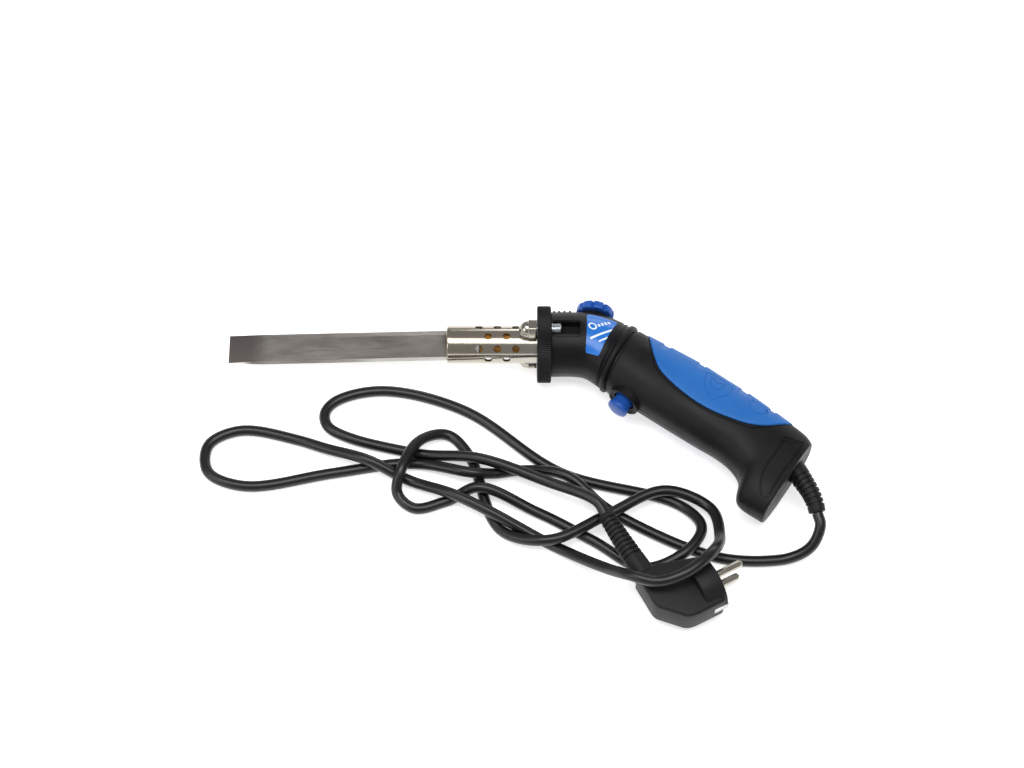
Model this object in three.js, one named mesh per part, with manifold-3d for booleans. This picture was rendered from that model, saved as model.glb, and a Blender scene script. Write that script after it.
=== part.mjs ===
// Electric hot-knife foam cutter, a soldering iron's relative, lying on its right flank on a table,
// with its mains cord and plug. Millimetres, +Z up.
// The tool's own frame: X runs back along the nose from the collar's front face, +Y to the dial side,
// +Z to the tool's left side, which faces up as it lies. Its symmetry plane is Z = 0.
import * as THREE from "three";
import { mergeVertices } from "three/addons/utils/BufferGeometryUtils.js";
import Module from "manifold-3d";

const wasm = await Module();
wasm.setup();

// ---- driving dimensions ----
const GAP = 0.3; // clearance between pieces that touch
const blade = { width: 21, thickness: 4.6, tipX: -203, tipThickness: 0.6, grind: 22, rootX: -52, droop: 1.5, pivotX: -49 };
const shank = { width: 11, thickness: 3.2, length: 13, edgeBevel: 4, edgeThickness: 1.8 };
const barrel = { radius: 12.4, wall: 0.8, frontX: -59.5, lip: 1.3, seat: 7.6 };
const vents = { radius: 2.5, firstX: -38.2, pitch: 12.1, rows: 9, perRow: 3, turn: 15 };
const core = { radius: 6.8, frontX: -38, length: 68 };
const sleeve = { wall: 1.6, rearX: -4 };
const collar = { radius: 25.4, thickness: 9.2, spigotRadius: 12.3, spigotLength: 15, ribRadius: 13.6 };
const stud = { radius: 3.9, circle: barrel.radius + 6.9, frontX: -8.6, rearX: 15.5 };
const nut = { acrossFlats: 12, hexLength: 5.6, length: 11.6, bore: 4.2 };
const shell = { wall: 2.6, seam: 0.15 };
const channel = { halfWidth: 4.7, floor: 14.9, endX: 27.5 };
const dial = { radius: 12.6, height: 5.8, lobes: 9, x: 38.3, y: 20.9, tilt: 10.5, shaftRadius: 3, lift: 0.5 };
const pot = { radius: 8, height: 6.5, drop: 5.2 };
const button = { radius: 7.2, x: 55.8, y: -43.2, tilt: 53, reach: 8.6, travel: 3.5, flange: 9, stem: 2.4 };
const boss = { buttonRadius: 11.2, dialRadius: 9.6, screwRadius: 4.4 };
const screw = { shank: 1.4, head: 3.1, headHeight: 2.2, headZ: -8.2, length: 15 };
const grip = { depth: 1.6, proud: 0.5, from: 4.72, to: 11.15, clearance: 0.5 };
const cord = { diameter: 7.2 };
const relief = { baseRadius: 7.4, tipRadius: 5.4, flangeRadius: 8.6 };
const plug = { x: 119.9, y: -119.4, z: 17.8, turn: 27.8, faceRadius: 17.5, faceDepth: 14, height: 21 };
const pin = { radius: 2.4, length: 19, pitch: 19, root: 6 };
const clip = { width: 5, length: 10, thickness: 0.8 };
const boot = { baseRadius: 7.6, tipRadius: 5.3, x: -36, y: 24, tipX: -37.5, tipY: 71.4, tipZ: 1.7 };

// Stations of the moulded body: top edge, bottom edge (x, y), half thickness, roundness of the section.
const NOSE = 21.4;
const stations = [
  [collar.thickness + 0.4, NOSE, collar.thickness + 0.4, -NOSE, NOSE, 2],
  [22, NOSE, 22, -NOSE, NOSE, 2],
  [37, 20.6, 30, -22.6, 21.2, 2],
  [51, 16.4, 36, -26.6, 20.8, 2.05],
  [64.5, 8.8, 41.5, -31, 20.6, 2.1],
  [77, 0.6, 54, -40, 20.3, 2.2],
  [92.8, -9.4, 70, -51.5, 20, 2.3],
  [108, -19.5, 86, -62.9, 20, 2.4],
  [123, -30.8, 101, -73.6, 19.6, 2.4],
  [138, -42, 114, -82.6, 19, 2.4],
  [151, -53, 123, -91.5, 18.2, 2.5],
  [163, -63.2, 127.4, -101.5, 17.4, 2.6],
  [172, -71.5, 126, -116, 16.6, 2.8],
  [175.5, -78, 141, -128.5, 15.5, 3],
];
const LAST = stations.length - 1;
// How far the soft grip reaches down the flank, as a share of the half width, from station to station.
const gripEdge = [
  [4.72, 0.97], [5.0, 0.7], [5.38, 0.31], [5.83, -0.04], [6.45, -0.22], [7.2, -0.32],
  [7.98, -0.32], [8.86, -0.22], [9.68, -0.02], [10.43, 0.33], [11.01, 0.8], [11.15, 0.97],
];

// ---- materials ----
const finish = (color, roughness, metalness = 0) =>
  new THREE.MeshStandardMaterial({ color, roughness, metalness });
const blackPlastic = finish(0x1e1c20, 0.5);
const blueRubber = finish(0x247ac4, 0.6);
const bluePlastic = finish(0x1f4fa8, 0.4);
const labelFilm = finish(0x1c79d0, 0.3);
const bladeSteel = finish(0x77757a, 0.4, 1);
const chrome = finish(0xd8d4cc, 0.12, 1);
const zinc = finish(0xb4b8bc, 0.3, 1);
const ceramic = finish(0xd9cfae, 0.8);
const mica = finish(0xa87b35, 0.45);
const boardGreen = finish(0x1f6b3a, 0.6);
const copperLead = finish(0x8c2f22, 0.5);
const brass = finish(0xc09a4a, 0.3, 1);
const cordRubber = finish(0x1b1a1d, 0.5);

// ---- geometry helpers ----
const V = (x, y, z = 0) => new THREE.Vector3(x, y, z);

function solid(geometry) {
  const bare = new THREE.BufferGeometry().setAttribute(
    "position",
    (geometry.index ? geometry.toNonIndexed() : geometry).getAttribute("position"),
  );
  const merged = mergeVertices(bare, 1e-4);
  return new wasm.Manifold(
    new wasm.Mesh({
      numProp: 3,
      vertProperties: merged.attributes.position.array,
      triVerts: new Uint32Array(merged.index.array),
    }),
  );
}

function geometryOf(manifold) {
  const { numProp, vertProperties, triVerts } = manifold.getMesh();
  const positions = new Float32Array((vertProperties.length / numProp) * 3);
  for (let i = 0; i < positions.length / 3; i++)
    positions.set(vertProperties.subarray(i * numProp, i * numProp + 3), i * 3);
  return new THREE.BufferGeometry()
    .setAttribute("position", new THREE.BufferAttribute(positions, 3))
    .setIndex(new THREE.BufferAttribute(new Uint32Array(triVerts), 1));
}

const tool = new THREE.Group();
const lead = new THREE.Group();

function add(parent, name, shape, material) {
  const geometry = shape.isBufferGeometry ? shape : geometryOf(shape);
  const mesh = new THREE.Mesh(geometry, material);
  mesh.name = name;
  parent.add(mesh);
  return mesh;
}

// A round piece turned about the X axis from (x, radius) pairs, listed from low x to high x.
function turned(profile, segments = 32) {
  const points = profile.map(([x, r]) => new THREE.Vector2(r, x));
  return new THREE.LatheGeometry(points, segments).rotateZ(-Math.PI / 2);
}

// A cylinder, or a cone, between two points.
function rod(from, to, radius, segments = 20, endRadius = radius) {
  const along = to.clone().sub(from);
  const turn = new THREE.Quaternion().setFromUnitVectors(V(0, 1, 0), along.clone().normalize());
  return new THREE.CylinderGeometry(endRadius, radius, along.length(), segments)
    .applyQuaternion(turn)
    .translate(...from.clone().add(to).multiplyScalar(0.5).toArray());
}

function box(center, size, angle = 0) {
  return new THREE.BoxGeometry(...size).rotateZ(angle).translate(...center.toArray());
}

function circleShape(radius, sides) {
  const points = Array.from({ length: sides }, (_, i) => {
    const a = (i / sides) * 2 * Math.PI;
    return new THREE.Vector2(radius * Math.cos(a), radius * Math.sin(a));
  });
  return new THREE.Shape(points);
}

function tube(points, radius, sides, steps) {
  const extrudePath = new THREE.CatmullRomCurve3(points);
  return new THREE.ExtrudeGeometry(circleShape(radius, sides), { steps, extrudePath, bevelEnabled: false });
}

// ---- the moulded body's skin ----
const lines = {
  top: new THREE.CatmullRomCurve3(stations.map(([x, y]) => V(x, y)), false, "catmullrom", 0.5),
  bottom: new THREE.CatmullRomCurve3(stations.map(([, , x, y]) => V(x, y)), false, "catmullrom", 0.5),
};

function lerpStation(station, column) {
  const i = Math.min(Math.floor(station), LAST - 1);
  return THREE.MathUtils.lerp(stations[i][column], stations[i + 1][column], station - i);
}

function section(station, offset = 0) {
  const top = lines.top.getPoint(station / LAST);
  const bottom = lines.bottom.getPoint(station / LAST);
  const across = top.clone().sub(bottom);
  return {
    center: top.clone().add(bottom).multiplyScalar(0.5),
    up: across.clone().normalize(),
    halfWidth: across.length() / 2 + offset,
    halfThickness: lerpStation(station, 4) + offset,
    power: 2 / lerpStation(station, 5),
  };
}

const bend = (value, power) => Math.sign(value) * Math.abs(value) ** power;

// The point of the skin at an angle from the top edge, positive towards the left flank.
function skin(station, angle, offset = 0) {
  const s = section(station, offset);
  return s.center
    .clone()
    .addScaledVector(s.up, bend(Math.cos(angle), s.power) * s.halfWidth)
    .add(V(0, 0, bend(Math.sin(angle), s.power) * s.halfThickness));
}

// A point inside the body: q along the section towards the top edge, z to the left flank.
function inside(station, q, z = 0) {
  const s = section(station);
  return s.center.clone().addScaledVector(s.up, q).add(V(0, 0, z));
}

function slope(station) {
  const { up } = section(station);
  return Math.atan2(-up.x, up.y);
}

// A cylinder whose rings are laid onto the body's sections; offset is negative inside the skin.
function loft(from, to, offset, rings, sides) {
  const geometry = new THREE.CylinderGeometry(1, 1, 1, sides, rings);
  const position = geometry.getAttribute("position");
  for (let i = 0; i < position.count; i++) {
    const p = V(position.getX(i), position.getY(i), position.getZ(i));
    const radius = Math.hypot(p.x, p.z);
    const share = 0.5 - p.y;
    const station = THREE.MathUtils.lerp(from, to, share);
    const q = radius < 0.5 ? section(station).center : skin(station, Math.atan2(p.z, p.x), offset);
    position.setXYZ(i, q.x, q.y, q.z);
  }
  return solid(geometry);
}

function gripAngle(station) {
  const k = gripEdge.findIndex(([s]) => s >= station);
  const [s1, e1] = gripEdge[Math.max(k, 1)];
  const [s0, e0] = gripEdge[Math.max(k, 1) - 1];
  const share = THREE.MathUtils.clamp(e0 + ((e1 - e0) * (station - s0)) / (s1 - s0), -1, 0.97);
  return Math.acos(bend(share, 1 / section(station).power));
}

// A thick patch of the skin that covers the top edge and both flanks down to the grip's edge.
function gripPatch(low, high, grow) {
  const geometry = new THREE.BoxGeometry(1, 1, 1, 18, 10, 1);
  const position = geometry.getAttribute("position");
  const reach = grow / 22; // a millimetre is about a twenty-second of the distance between stations
  for (let i = 0; i < position.count; i++) {
    const share = position.getX(i) + 0.5;
    const station = THREE.MathUtils.lerp(grip.from - reach, grip.to + reach, share);
    const held = THREE.MathUtils.clamp(station, grip.from, grip.to);
    const widest = gripAngle(held) + grow / section(held).halfThickness;
    const offset = THREE.MathUtils.lerp(low, high, position.getZ(i) + 0.5);
    const q = skin(station, -position.getY(i) * 2 * widest, offset);
    position.setXYZ(i, q.x, q.y, q.z);
  }
  return solid(geometry);
}

const BIG = 600;
const leftHalf = solid(box(V(0, 0, BIG / 2 + shell.seam), [BIG, BIG, BIG]));
const rightHalf = solid(box(V(0, 0, -BIG / 2 - shell.seam), [BIG, BIG, BIG]));

// ---- blade, its holder and the heater ----
function makeBlade() {
  const w = blade.width / 2;
  const t = blade.thickness / 2;
  const edge = shank.edgeThickness / 2;
  const outline = new THREE.Shape(
    [[-t, -w], [t, -w], [t, w - shank.edgeBevel], [edge, w], [-edge, w], [-t, w - shank.edgeBevel]].map(
      ([z, y]) => new THREE.Vector2(z, y),
    ),
  );
  const bar = solid(
    new THREE.ExtrudeGeometry(outline, { depth: blade.rootX - blade.tipX, bevelEnabled: false })
      .rotateY(Math.PI / 2)
      .translate(blade.tipX, 0, 0),
  );
  const flank = new THREE.Shape(
    [
      [blade.tipX, -blade.tipThickness / 2], [blade.tipX + blade.grind, -t - 0.01], [blade.rootX + 1, -t - 0.01],
      [blade.rootX + 1, t + 0.01], [blade.tipX + blade.grind, t + 0.01], [blade.tipX, blade.tipThickness / 2],
    ].map(([x, z]) => new THREE.Vector2(x, z)),
  );
  const wedge = solid(
    new THREE.ExtrudeGeometry(flank, { depth: blade.width + 2, bevelEnabled: false })
      .rotateX(Math.PI / 2)
      .translate(0, blade.width / 2 + 1, 0),
  );
  const tang = solid(
    box(V(blade.rootX + shank.length / 2 - 1, 0, 0), [shank.length + 2, shank.width, shank.thickness]),
  );
  const straight = bar.intersect(wedge).add(tang);
  const drooped = straight.translate([-blade.pivotX, 0, 0]).rotate([0, 0, blade.droop]).translate([blade.pivotX, 0, 0]);
  add(tool, "blade", drooped, bladeSteel);
}

function makeHolder() {
  const front = blade.rootX + GAP;
  const rear = core.frontX - GAP;
  const radius = barrel.radius - barrel.wall - GAP;
  const body = solid(turned([[front, 0], [front, radius], [rear, radius], [rear, 0]]));
  const slot = solid(
    box(V(blade.rootX + shank.length / 2, 0, 0), [shank.length + 2 * GAP, shank.width + 2 * GAP, shank.thickness + 2 * GAP]),
  );
  const screwX = (front + rear) / 2;
  const lowest = shank.thickness / 2 + GAP;
  const hole = solid(rod(V(screwX, 0, 0), V(screwX, 0, radius + 2), 1.9 + GAP, 12));
  add(tool, "blade_holder", body.subtract(slot).subtract(hole), bladeSteel);
  add(tool, "blade_set_screw", rod(V(screwX, 0, lowest), V(screwX, 0, radius - 0.6), 1.9, 12), zinc);
}

function makeBarrel() {
  const inner = barrel.radius - barrel.wall;
  const rearX = barrel.seat - GAP;
  const profile = [
    [rearX, inner], [barrel.frontX + 2, inner], [barrel.frontX + 0.8, barrel.radius - barrel.lip],
    [barrel.frontX, barrel.radius - barrel.lip], [barrel.frontX, barrel.radius - 0.6],
    [barrel.frontX + 1, barrel.radius], [rearX, barrel.radius], [rearX, inner],
  ];
  let body = solid(turned(profile, 27));
  const drills = [];
  for (let row = 0; row < vents.rows; row++) {
    const angle = THREE.MathUtils.degToRad(vents.turn + (360 / vents.rows) * row);
    const offset = row % 2 ? 0 : 0.5;
    const count = row % 2 ? vents.perRow : vents.perRow - 1;
    for (let k = 0; k < count; k++) {
      const x = vents.firstX + vents.pitch * (k + offset);
      const out = V(0, Math.cos(angle), Math.sin(angle));
      const from = V(x, 0, 0).addScaledVector(out, inner - 2);
      const to = V(x, 0, 0).addScaledVector(out, barrel.radius + 2);
      drills.push(solid(rod(from, to, vents.radius, 8)));
    }
  }
  for (const drill of drills) body = body.subtract(drill);
  add(tool, "barrel_tube", body, chrome);
}

function makeHeater() {
  const rear = core.frontX + core.length;
  add(
    tool,
    "heater_core",
    turned([[core.frontX, 0], [core.frontX, core.radius], [rear, core.radius], [rear, 0]], 24),
    ceramic,
  );
  const bore = core.radius + GAP;
  const outer = bore + sleeve.wall;
  add(
    tool,
    "heater_sleeve",
    turned(
      [
        [sleeve.rearX, bore], [core.frontX + GAP, bore], [core.frontX + GAP, outer],
        [sleeve.rearX, outer], [sleeve.rearX, bore],
      ],
      28,
    ),
    mica,
  );
}

// ---- collar with its spigot, studs and dome nuts ----
const sides = { left: 1, right: -1 };

function makeCollar() {
  const spigotEnd = collar.thickness + collar.spigotLength;
  const bore = barrel.radius + GAP;
  const coreBore = core.radius + GAP;
  const ribFront = collar.thickness + 6.2;
  const profile = [
    [spigotEnd, coreBore], [barrel.seat, coreBore], [barrel.seat, bore], [0, bore],
    [0, collar.radius], [collar.thickness, collar.radius], [collar.thickness, collar.spigotRadius],
    [ribFront, collar.spigotRadius], [ribFront, collar.ribRadius], [ribFront + 2.4, collar.ribRadius],
    [ribFront + 2.4, collar.spigotRadius], [spigotEnd, collar.spigotRadius], [spigotEnd, coreBore],
  ];
  let body = solid(turned(profile, 36));
  for (const z of Object.values(sides)) {
    const from = V(-5, 0, z * stud.circle);
    const to = V(collar.thickness + 5, 0, z * stud.circle);
    const clear = solid(rod(from, to, stud.radius + GAP, 16));
    body = body.subtract(clear);
  }
  add(tool, "collar", body, blackPlastic);
}

function makeStud(side, sign) {
  const z = sign * stud.circle;
  add(tool, `guide_stud_${side}`, rod(V(stud.frontX, 0, z), V(stud.rearX, 0, z), stud.radius, 16), zinc);
  const rear = -GAP;
  const front = rear - nut.length;
  const hex = rod(V(rear - nut.hexLength, 0, 0), V(rear, 0, 0), nut.acrossFlats / 2 / Math.cos(Math.PI / 6), 6);
  const domeRadius = nut.acrossFlats / 2 - 0.4;
  const dome = turned(
    [[front, 0], [front + 0.7, domeRadius * 0.5], [front + 2.4, domeRadius * 0.86],
      [front + 4.6, domeRadius], [rear - 1, domeRadius], [rear - 1, 0]],
    18,
  );
  const bore = rod(V(stud.frontX - GAP, 0, 0), V(rear + 1, 0, 0), nut.bore, 16);
  const body = solid(hex.rotateX(Math.PI / 6)).add(solid(dome)).subtract(solid(bore));
  add(tool, `dome_nut_${side}`, body, zinc).position.z = z;
}

// ---- moulded body: two clamshell halves and the soft grip ----
const dialAxis = V(Math.sin(THREE.MathUtils.degToRad(dial.tilt)), Math.cos(THREE.MathUtils.degToRad(dial.tilt)));
const dialSeat = V(dial.x, dial.y);
const alongDial = (t) => dialSeat.clone().addScaledVector(dialAxis, t);
const pressAngle = THREE.MathUtils.degToRad(180 + button.tilt);
const pressAxis = V(Math.cos(pressAngle), Math.sin(pressAngle)); // outwards
const pressSeat = V(button.x, button.y);
const alongPress = (t) => pressSeat.clone().addScaledVector(pressAxis, t);
const reliefSeat = V(163.5, -93);
const reliefAxis = V(0.55, -0.835);
const alongRelief = (t) => reliefSeat.clone().addScaledVector(reliefAxis, t);

// Housing screws: station and offset across the section.
const screwPlaces = [[1.15, -16.8], [4.35, 14], [5.75, -16], [8.4, -16], [12.1, -19]];
const BUTTON_WALL = 2.8;

function makeHousing() {
  const outer = loft(0, LAST, 0, 24, 24);
  const cavity = loft(1.6, LAST - 0.32, -shell.wall, 13, 16);
  const noseRear = 33;
  const spigotGap = collar.spigotRadius + GAP;
  const ribGap = collar.ribRadius + GAP;
  const ribFront = collar.thickness + 6.2 - GAP;
  const ribRear = ribFront + 2.4 + 2 * GAP;
  const noseBore = solid(
    turned(
      [
        [0, 0], [0, spigotGap], [ribFront, spigotGap], [ribFront, ribGap], [ribRear, ribGap],
        [ribRear, spigotGap], [noseRear, spigotGap], [noseRear, 0],
      ],
      20,
    ),
  );
  let body = outer.subtract(gripPatch(-grip.depth - GAP, 4, grip.clearance));
  // seats for the dial and the button
  body = body.add(solid(rod(alongDial(-7), alongDial(0), boss.dialRadius, 24)));
  body = body.add(solid(rod(alongPress(-7), alongPress(0), boss.buttonRadius, 24)));
  body = body.subtract(cavity).subtract(noseBore);
  // bosses for the housing screws, kept inside the skin
  const trimmed = loft(0, LAST, -1, 13, 16);
  for (const [station, q] of screwPlaces) {
    const column = solid(rod(inside(station, q, -30), inside(station, q, 30), boss.screwRadius, 14));
    body = body.add(column.intersect(trimmed).subtract(noseBore));
  }
  // the dial's shaft hole and the room under it for the potentiometer
  body = body.subtract(solid(rod(alongDial(-9), alongDial(1), dial.shaftRadius + 1, 16)));
  body = body.subtract(solid(rod(alongDial(-20), alongDial(-pot.drop + GAP), pot.radius + 0.8, 20)));
  // the button's hole and the wider room behind it
  body = body.subtract(solid(rod(alongPress(-8), alongPress(1), button.radius + GAP, 20)));
  body = body.subtract(solid(rod(alongPress(-14), alongPress(-BUTTON_WALL), button.flange + 2 * GAP, 20)));
  // channels beside the studs
  for (const z of Object.values(sides)) {
    const length = channel.endX + 10;
    const center = V(channel.endX - length / 2, 0, z * (channel.floor + 10));
    body = body.subtract(solid(box(center, [length, 2 * channel.halfWidth, 20])));
  }
  // the cord's way out
  body = body.subtract(solid(rod(alongRelief(-12), alongRelief(8), relief.baseRadius + GAP, 20)));
  body = body.subtract(solid(rod(alongRelief(-16), alongRelief(-4.4), relief.flangeRadius + GAP, 20)));
  // the screws' holes, with room for their heads from the right-hand side
  for (const [station, q] of screwPlaces) {
    const shank = solid(rod(inside(station, q, -30), inside(station, q, screw.length - 6), screw.shank + GAP, 10));
    const head = solid(rod(inside(station, q, -40), inside(station, q, screw.headZ), screw.head + GAP, 14));
    body = body.subtract(shank).subtract(head);
  }
  add(tool, "housing_left", largest(body.intersect(leftHalf)), blackPlastic);
  add(tool, "housing_right", largest(body.intersect(rightHalf)), blackPlastic);

  const pads = gripPatch(-grip.depth + GAP, grip.proud, 0);
  add(tool, "grip_left", largest(pads.intersect(leftHalf)), blueRubber);
  add(tool, "grip_right", largest(pads.intersect(rightHalf)), blueRubber);
}

// Cuts leave slivers that no mould would have; the piece is the largest body.
function largest(manifold) {
  return manifold.decompose().sort((a, b) => b.volume() - a.volume())[0];
}

function makeScrews() {
  screwPlaces.forEach(([station, q], i) => {
    const place = inside(station, q);
    const under = screw.headZ - GAP;
    const shank = rod(place.clone().setZ(under - 1), place.clone().setZ(under + screw.length - 1), screw.shank, 10);
    const head = rod(place.clone().setZ(under - screw.headHeight), place.clone().setZ(under), screw.head, 14);
    add(tool, `housing_screw_${i + 1}`, solid(shank).add(solid(head)), zinc);
  });
}

function makeLabel() {
  const film = { top: 52, bottom: 130, thickness: 0.35 };
  const geometry = new THREE.BoxGeometry(1, 1, 1, 5, 10, 1);
  const position = geometry.getAttribute("position");
  for (let i = 0; i < position.count; i++) {
    const down = position.getY(i) + 0.5;
    const across = 0.5 - position.getX(i);
    const front = THREE.MathUtils.lerp(1.72, 2.05, down);
    const back = THREE.MathUtils.lerp(3.42, 3.1, down);
    const angle = THREE.MathUtils.degToRad(THREE.MathUtils.lerp(film.top, film.bottom, down));
    const offset = THREE.MathUtils.lerp(0.2, 0.2 + film.thickness, position.getZ(i) + 0.5);
    const q = skin(THREE.MathUtils.lerp(front, back, across), angle, offset);
    position.setXYZ(i, q.x, q.y, q.z);
  }
  add(tool, "label", solid(geometry), labelFilm);
}

// ---- dial, button and what they work ----
function makeDial() {
  const outline = new THREE.Shape();
  const steps = dial.lobes * 6;
  for (let i = 0; i < steps; i++) {
    const a = (i / steps) * 2 * Math.PI;
    const notch = i % 6 === 0 ? 0.9 : 0;
    const r = dial.radius - notch;
    if (i) outline.lineTo(r * Math.cos(a), r * Math.sin(a));
    else outline.moveTo(r, 0);
  }
  const disc = new THREE.ExtrudeGeometry(outline, { depth: dial.height, bevelEnabled: false });
  const turn = new THREE.Quaternion().setFromUnitVectors(V(0, 0, 1), dialAxis);
  disc.applyQuaternion(turn).translate(...alongDial(dial.lift).toArray());
  const bore = solid(rod(alongDial(-1), alongDial(dial.lift + dial.height - 1.8), dial.shaftRadius + GAP, 16));
  add(tool, "dial_knob", solid(disc).subtract(bore), bluePlastic);
  const top = dial.lift + dial.height - 1.8 - GAP;
  add(tool, "dial_shaft", rod(alongDial(-pot.drop - 1.5), alongDial(top), dial.shaftRadius, 14), brass);
  const body = solid(rod(alongDial(-pot.drop - pot.height), alongDial(-pot.drop), pot.radius, 20));
  const hole = solid(rod(alongDial(-pot.drop - 1.5 - GAP), alongDial(0), dial.shaftRadius + GAP, 14));
  add(tool, "potentiometer", body.subtract(hole), zinc);
}

const SWITCH_DEPTH = 14.4; // from the button's seat in to the switch's top
function makeButton() {
  const cap = solid(rod(alongPress(-BUTTON_WALL - GAP), alongPress(button.reach), button.radius, 24));
  const flange = solid(rod(alongPress(-BUTTON_WALL - GAP - 2), alongPress(-BUTTON_WALL - GAP), button.flange, 24));
  const stemEnd = -SWITCH_DEPTH + button.travel + 1.2;
  const stem = solid(rod(alongPress(stemEnd), alongPress(-BUTTON_WALL - GAP - 1.5), button.stem, 12));
  add(tool, "push_button", cap.add(flange).add(stem), bluePlastic);

  const turns = 4;
  const outer = -BUTTON_WALL - 2 * GAP - 2.5;
  const inner = -SWITCH_DEPTH + 0.9;
  const frameX = V(-pressAxis.y, pressAxis.x);
  const coilPoints = Array.from({ length: turns * 8 + 1 }, (_, i) => {
    const a = (i / 8) * 2 * Math.PI;
    return alongPress(THREE.MathUtils.lerp(inner, outer, i / (turns * 8)))
      .addScaledVector(frameX, 4.2 * Math.cos(a))
      .add(V(0, 0, 4.2 * Math.sin(a)));
  });
  add(tool, "button_spring", tube(coilPoints, 0.45, 5, turns * 9), zinc);

  const angle = pressAngle + Math.PI / 2;
  const center = alongPress(-SWITCH_DEPTH - 5.2);
  const plunger = solid(rod(alongPress(-SWITCH_DEPTH - 1), alongPress(-SWITCH_DEPTH + 0.7), 1.2, 10));
  add(tool, "micro_switch", solid(box(center, [19.8, 10.2, 6.4], angle)).add(plunger), finish(0x26282c, 0.5));
}

// A point level with the micro switch's middle, beyond its end on the handle's side.
const switchEnd = (t) => alongPress(-SWITCH_DEPTH - 5.2).add(V(-pressAxis.y, pressAxis.x).multiplyScalar(t));

// ---- electronics ----
function makeElectronics() {
  const boardStation = 7.35;
  const angle = slope(boardStation);
  const board = inside(boardStation, 1, -4);
  add(tool, "control_board", box(board, [50, 28, 1.6], angle), boardGreen);
  const on = (x, y, z) => V(x, y, 0).applyAxisAngle(V(0, 0, 1), angle).add(board).add(V(0, 0, z));
  const top = 0.8 + GAP;
  add(tool, "filter_capacitor", box(on(-14, 5, top + 5), [18, 8, 10], angle), finish(0xb89a2c, 0.5));
  add(tool, "triac", box(on(3, -4, top + 7.5), [10, 4.4, 15], angle), finish(0x202022, 0.5));
  const fins = [box(on(3, 0.6, top + 6), [16, 3.4, 12], angle)];
  for (const x of [-3.4, 3, 9.4]) fins.push(box(on(x, 4.4, top + 6), [1.6, 5, 12], angle));
  add(tool, "heat_sink", fins.map(solid).reduce((a, b) => a.add(b)), finish(0xa9adb1, 0.4, 1));
  add(tool, "choke_coil", rod(on(18, 2, top), on(18, 2, top + 12), 5, 16), copperLead);

  const blockStation = 9.5;
  const blockAngle = slope(blockStation);
  const block = inside(blockStation, -2, 0);
  add(tool, "terminal_block", box(block, [12, 20, 10], blockAngle), finish(0xe6e2d6, 0.5));
  const at = (x, y, z) => V(x, y, 0).applyAxisAngle(V(0, 0, 1), blockAngle).add(block).add(V(0, 0, z));

  const edge = (y) => [on(25 + GAP, y, 0), on(27.5, y, 0)];
  const leadRadius = 0.9;
  const run = (name, points, color) => add(tool, name, tube(points, leadRadius, 6, 10), finish(color, 0.5));
  run("live_lead", [...edge(9), at(-9, 6, 1), at(-6 - GAP, 6, 1)], 0x6b3a1e);
  run("neutral_lead", [...edge(-9), at(-9, -6, 1), at(-6 - GAP, -6, 1)], 0x2457a6);
  const front = (y) => [on(-25 - GAP, y, 0), on(-28, y, 0)];
  const rear = core.frontX + core.length + GAP;
  run("heater_lead_live", [...front(10), inside(5, 9, 0), inside(3.9, 5, 4), inside(3, 1, 4), V(rear, 2.5, 3)], 0x7a3d1c);
  run("heater_lead_neutral", [...front(5), inside(5, 4, -6), inside(3.9, 0, -6), inside(3, -3, -4), V(rear, -2.5, -3)], 0x2a4f94);
  run("switch_lead", [...front(-6), switchEnd(12), switchEnd(9.9 + GAP)], 0x222222);

  // the cord's own end inside the butt, its clamp and the clamp's screws
  const tail = [alongRelief(-7.6 - GAP), alongRelief(-14), inside(10.6, 2, 0), at(6 + GAP, 0, 0)];
  add(tool, "cord_tail", tube(tail, cord.diameter / 2, 8, 10), cordRubber);
  const clampCenter = alongRelief(-15.5);
  const clampAngle = Math.atan2(reliefAxis.y, reliefAxis.x);
  add(
    tool,
    "cord_clamp",
    box(clampCenter.clone().setZ(cord.diameter / 2 + 1.9), [7, 22, 2.6], clampAngle),
    blackPlastic,
  );
  for (const [i, y] of [-8.5, 8.5].entries()) {
    const place = V(0, y).applyAxisAngle(V(0, 0, 1), clampAngle).add(clampCenter);
    const lift = cord.diameter / 2 + 3.2 + GAP;
    add(tool, `clamp_screw_${i + 1}`, rod(place.clone().setZ(lift), place.clone().setZ(lift + 2), 2.6, 12), zinc);
  }
}

// A round piece whose radius changes along a curve, with ribs like a bellows.
function ribbedSleeve(points, rings, sidesCount, radiusAt) {
  const curve = new THREE.CatmullRomCurve3(points);
  const frames = curve.computeFrenetFrames(rings, false);
  const geometry = new THREE.CylinderGeometry(1, 1, 1, sidesCount, rings);
  const position = geometry.getAttribute("position");
  for (let i = 0; i < position.count; i++) {
    const share = 0.5 - position.getY(i);
    const ring = Math.round(share * rings);
    const reach = radiusAt(ring / rings);
    const q = curve
      .getPointAt(ring / rings)
      .addScaledVector(frames.normals[ring], position.getX(i) * reach)
      .addScaledVector(frames.binormals[ring], position.getZ(i) * reach);
    position.setXYZ(i, q.x, q.y, q.z);
  }
  return solid(geometry);
}

const reliefRoute = [
  alongRelief(-3), alongRelief(3), V(168.6, -101.6, -0.3), V(172.6, -109, -1), V(175.4, -116.6, -2.6), V(176.4, -121.4, -4.2),
];

function makeRelief() {
  const taper = (share) => THREE.MathUtils.lerp(relief.baseRadius, relief.tipRadius, share);
  const boot = ribbedSleeve(reliefRoute, 18, 12, (share) => taper(share) - (Math.round(share * 18) % 3 ? 0 : 0.8));
  const flange = solid(rod(alongRelief(-7.6), alongRelief(-4.4 - GAP), relief.flangeRadius, 16));
  const stalk = solid(rod(alongRelief(-7), alongRelief(-2), relief.baseRadius - 0.6, 16));
  add(tool, "strain_relief", boot.add(stalk).add(flange), cordRubber);
}

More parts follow.
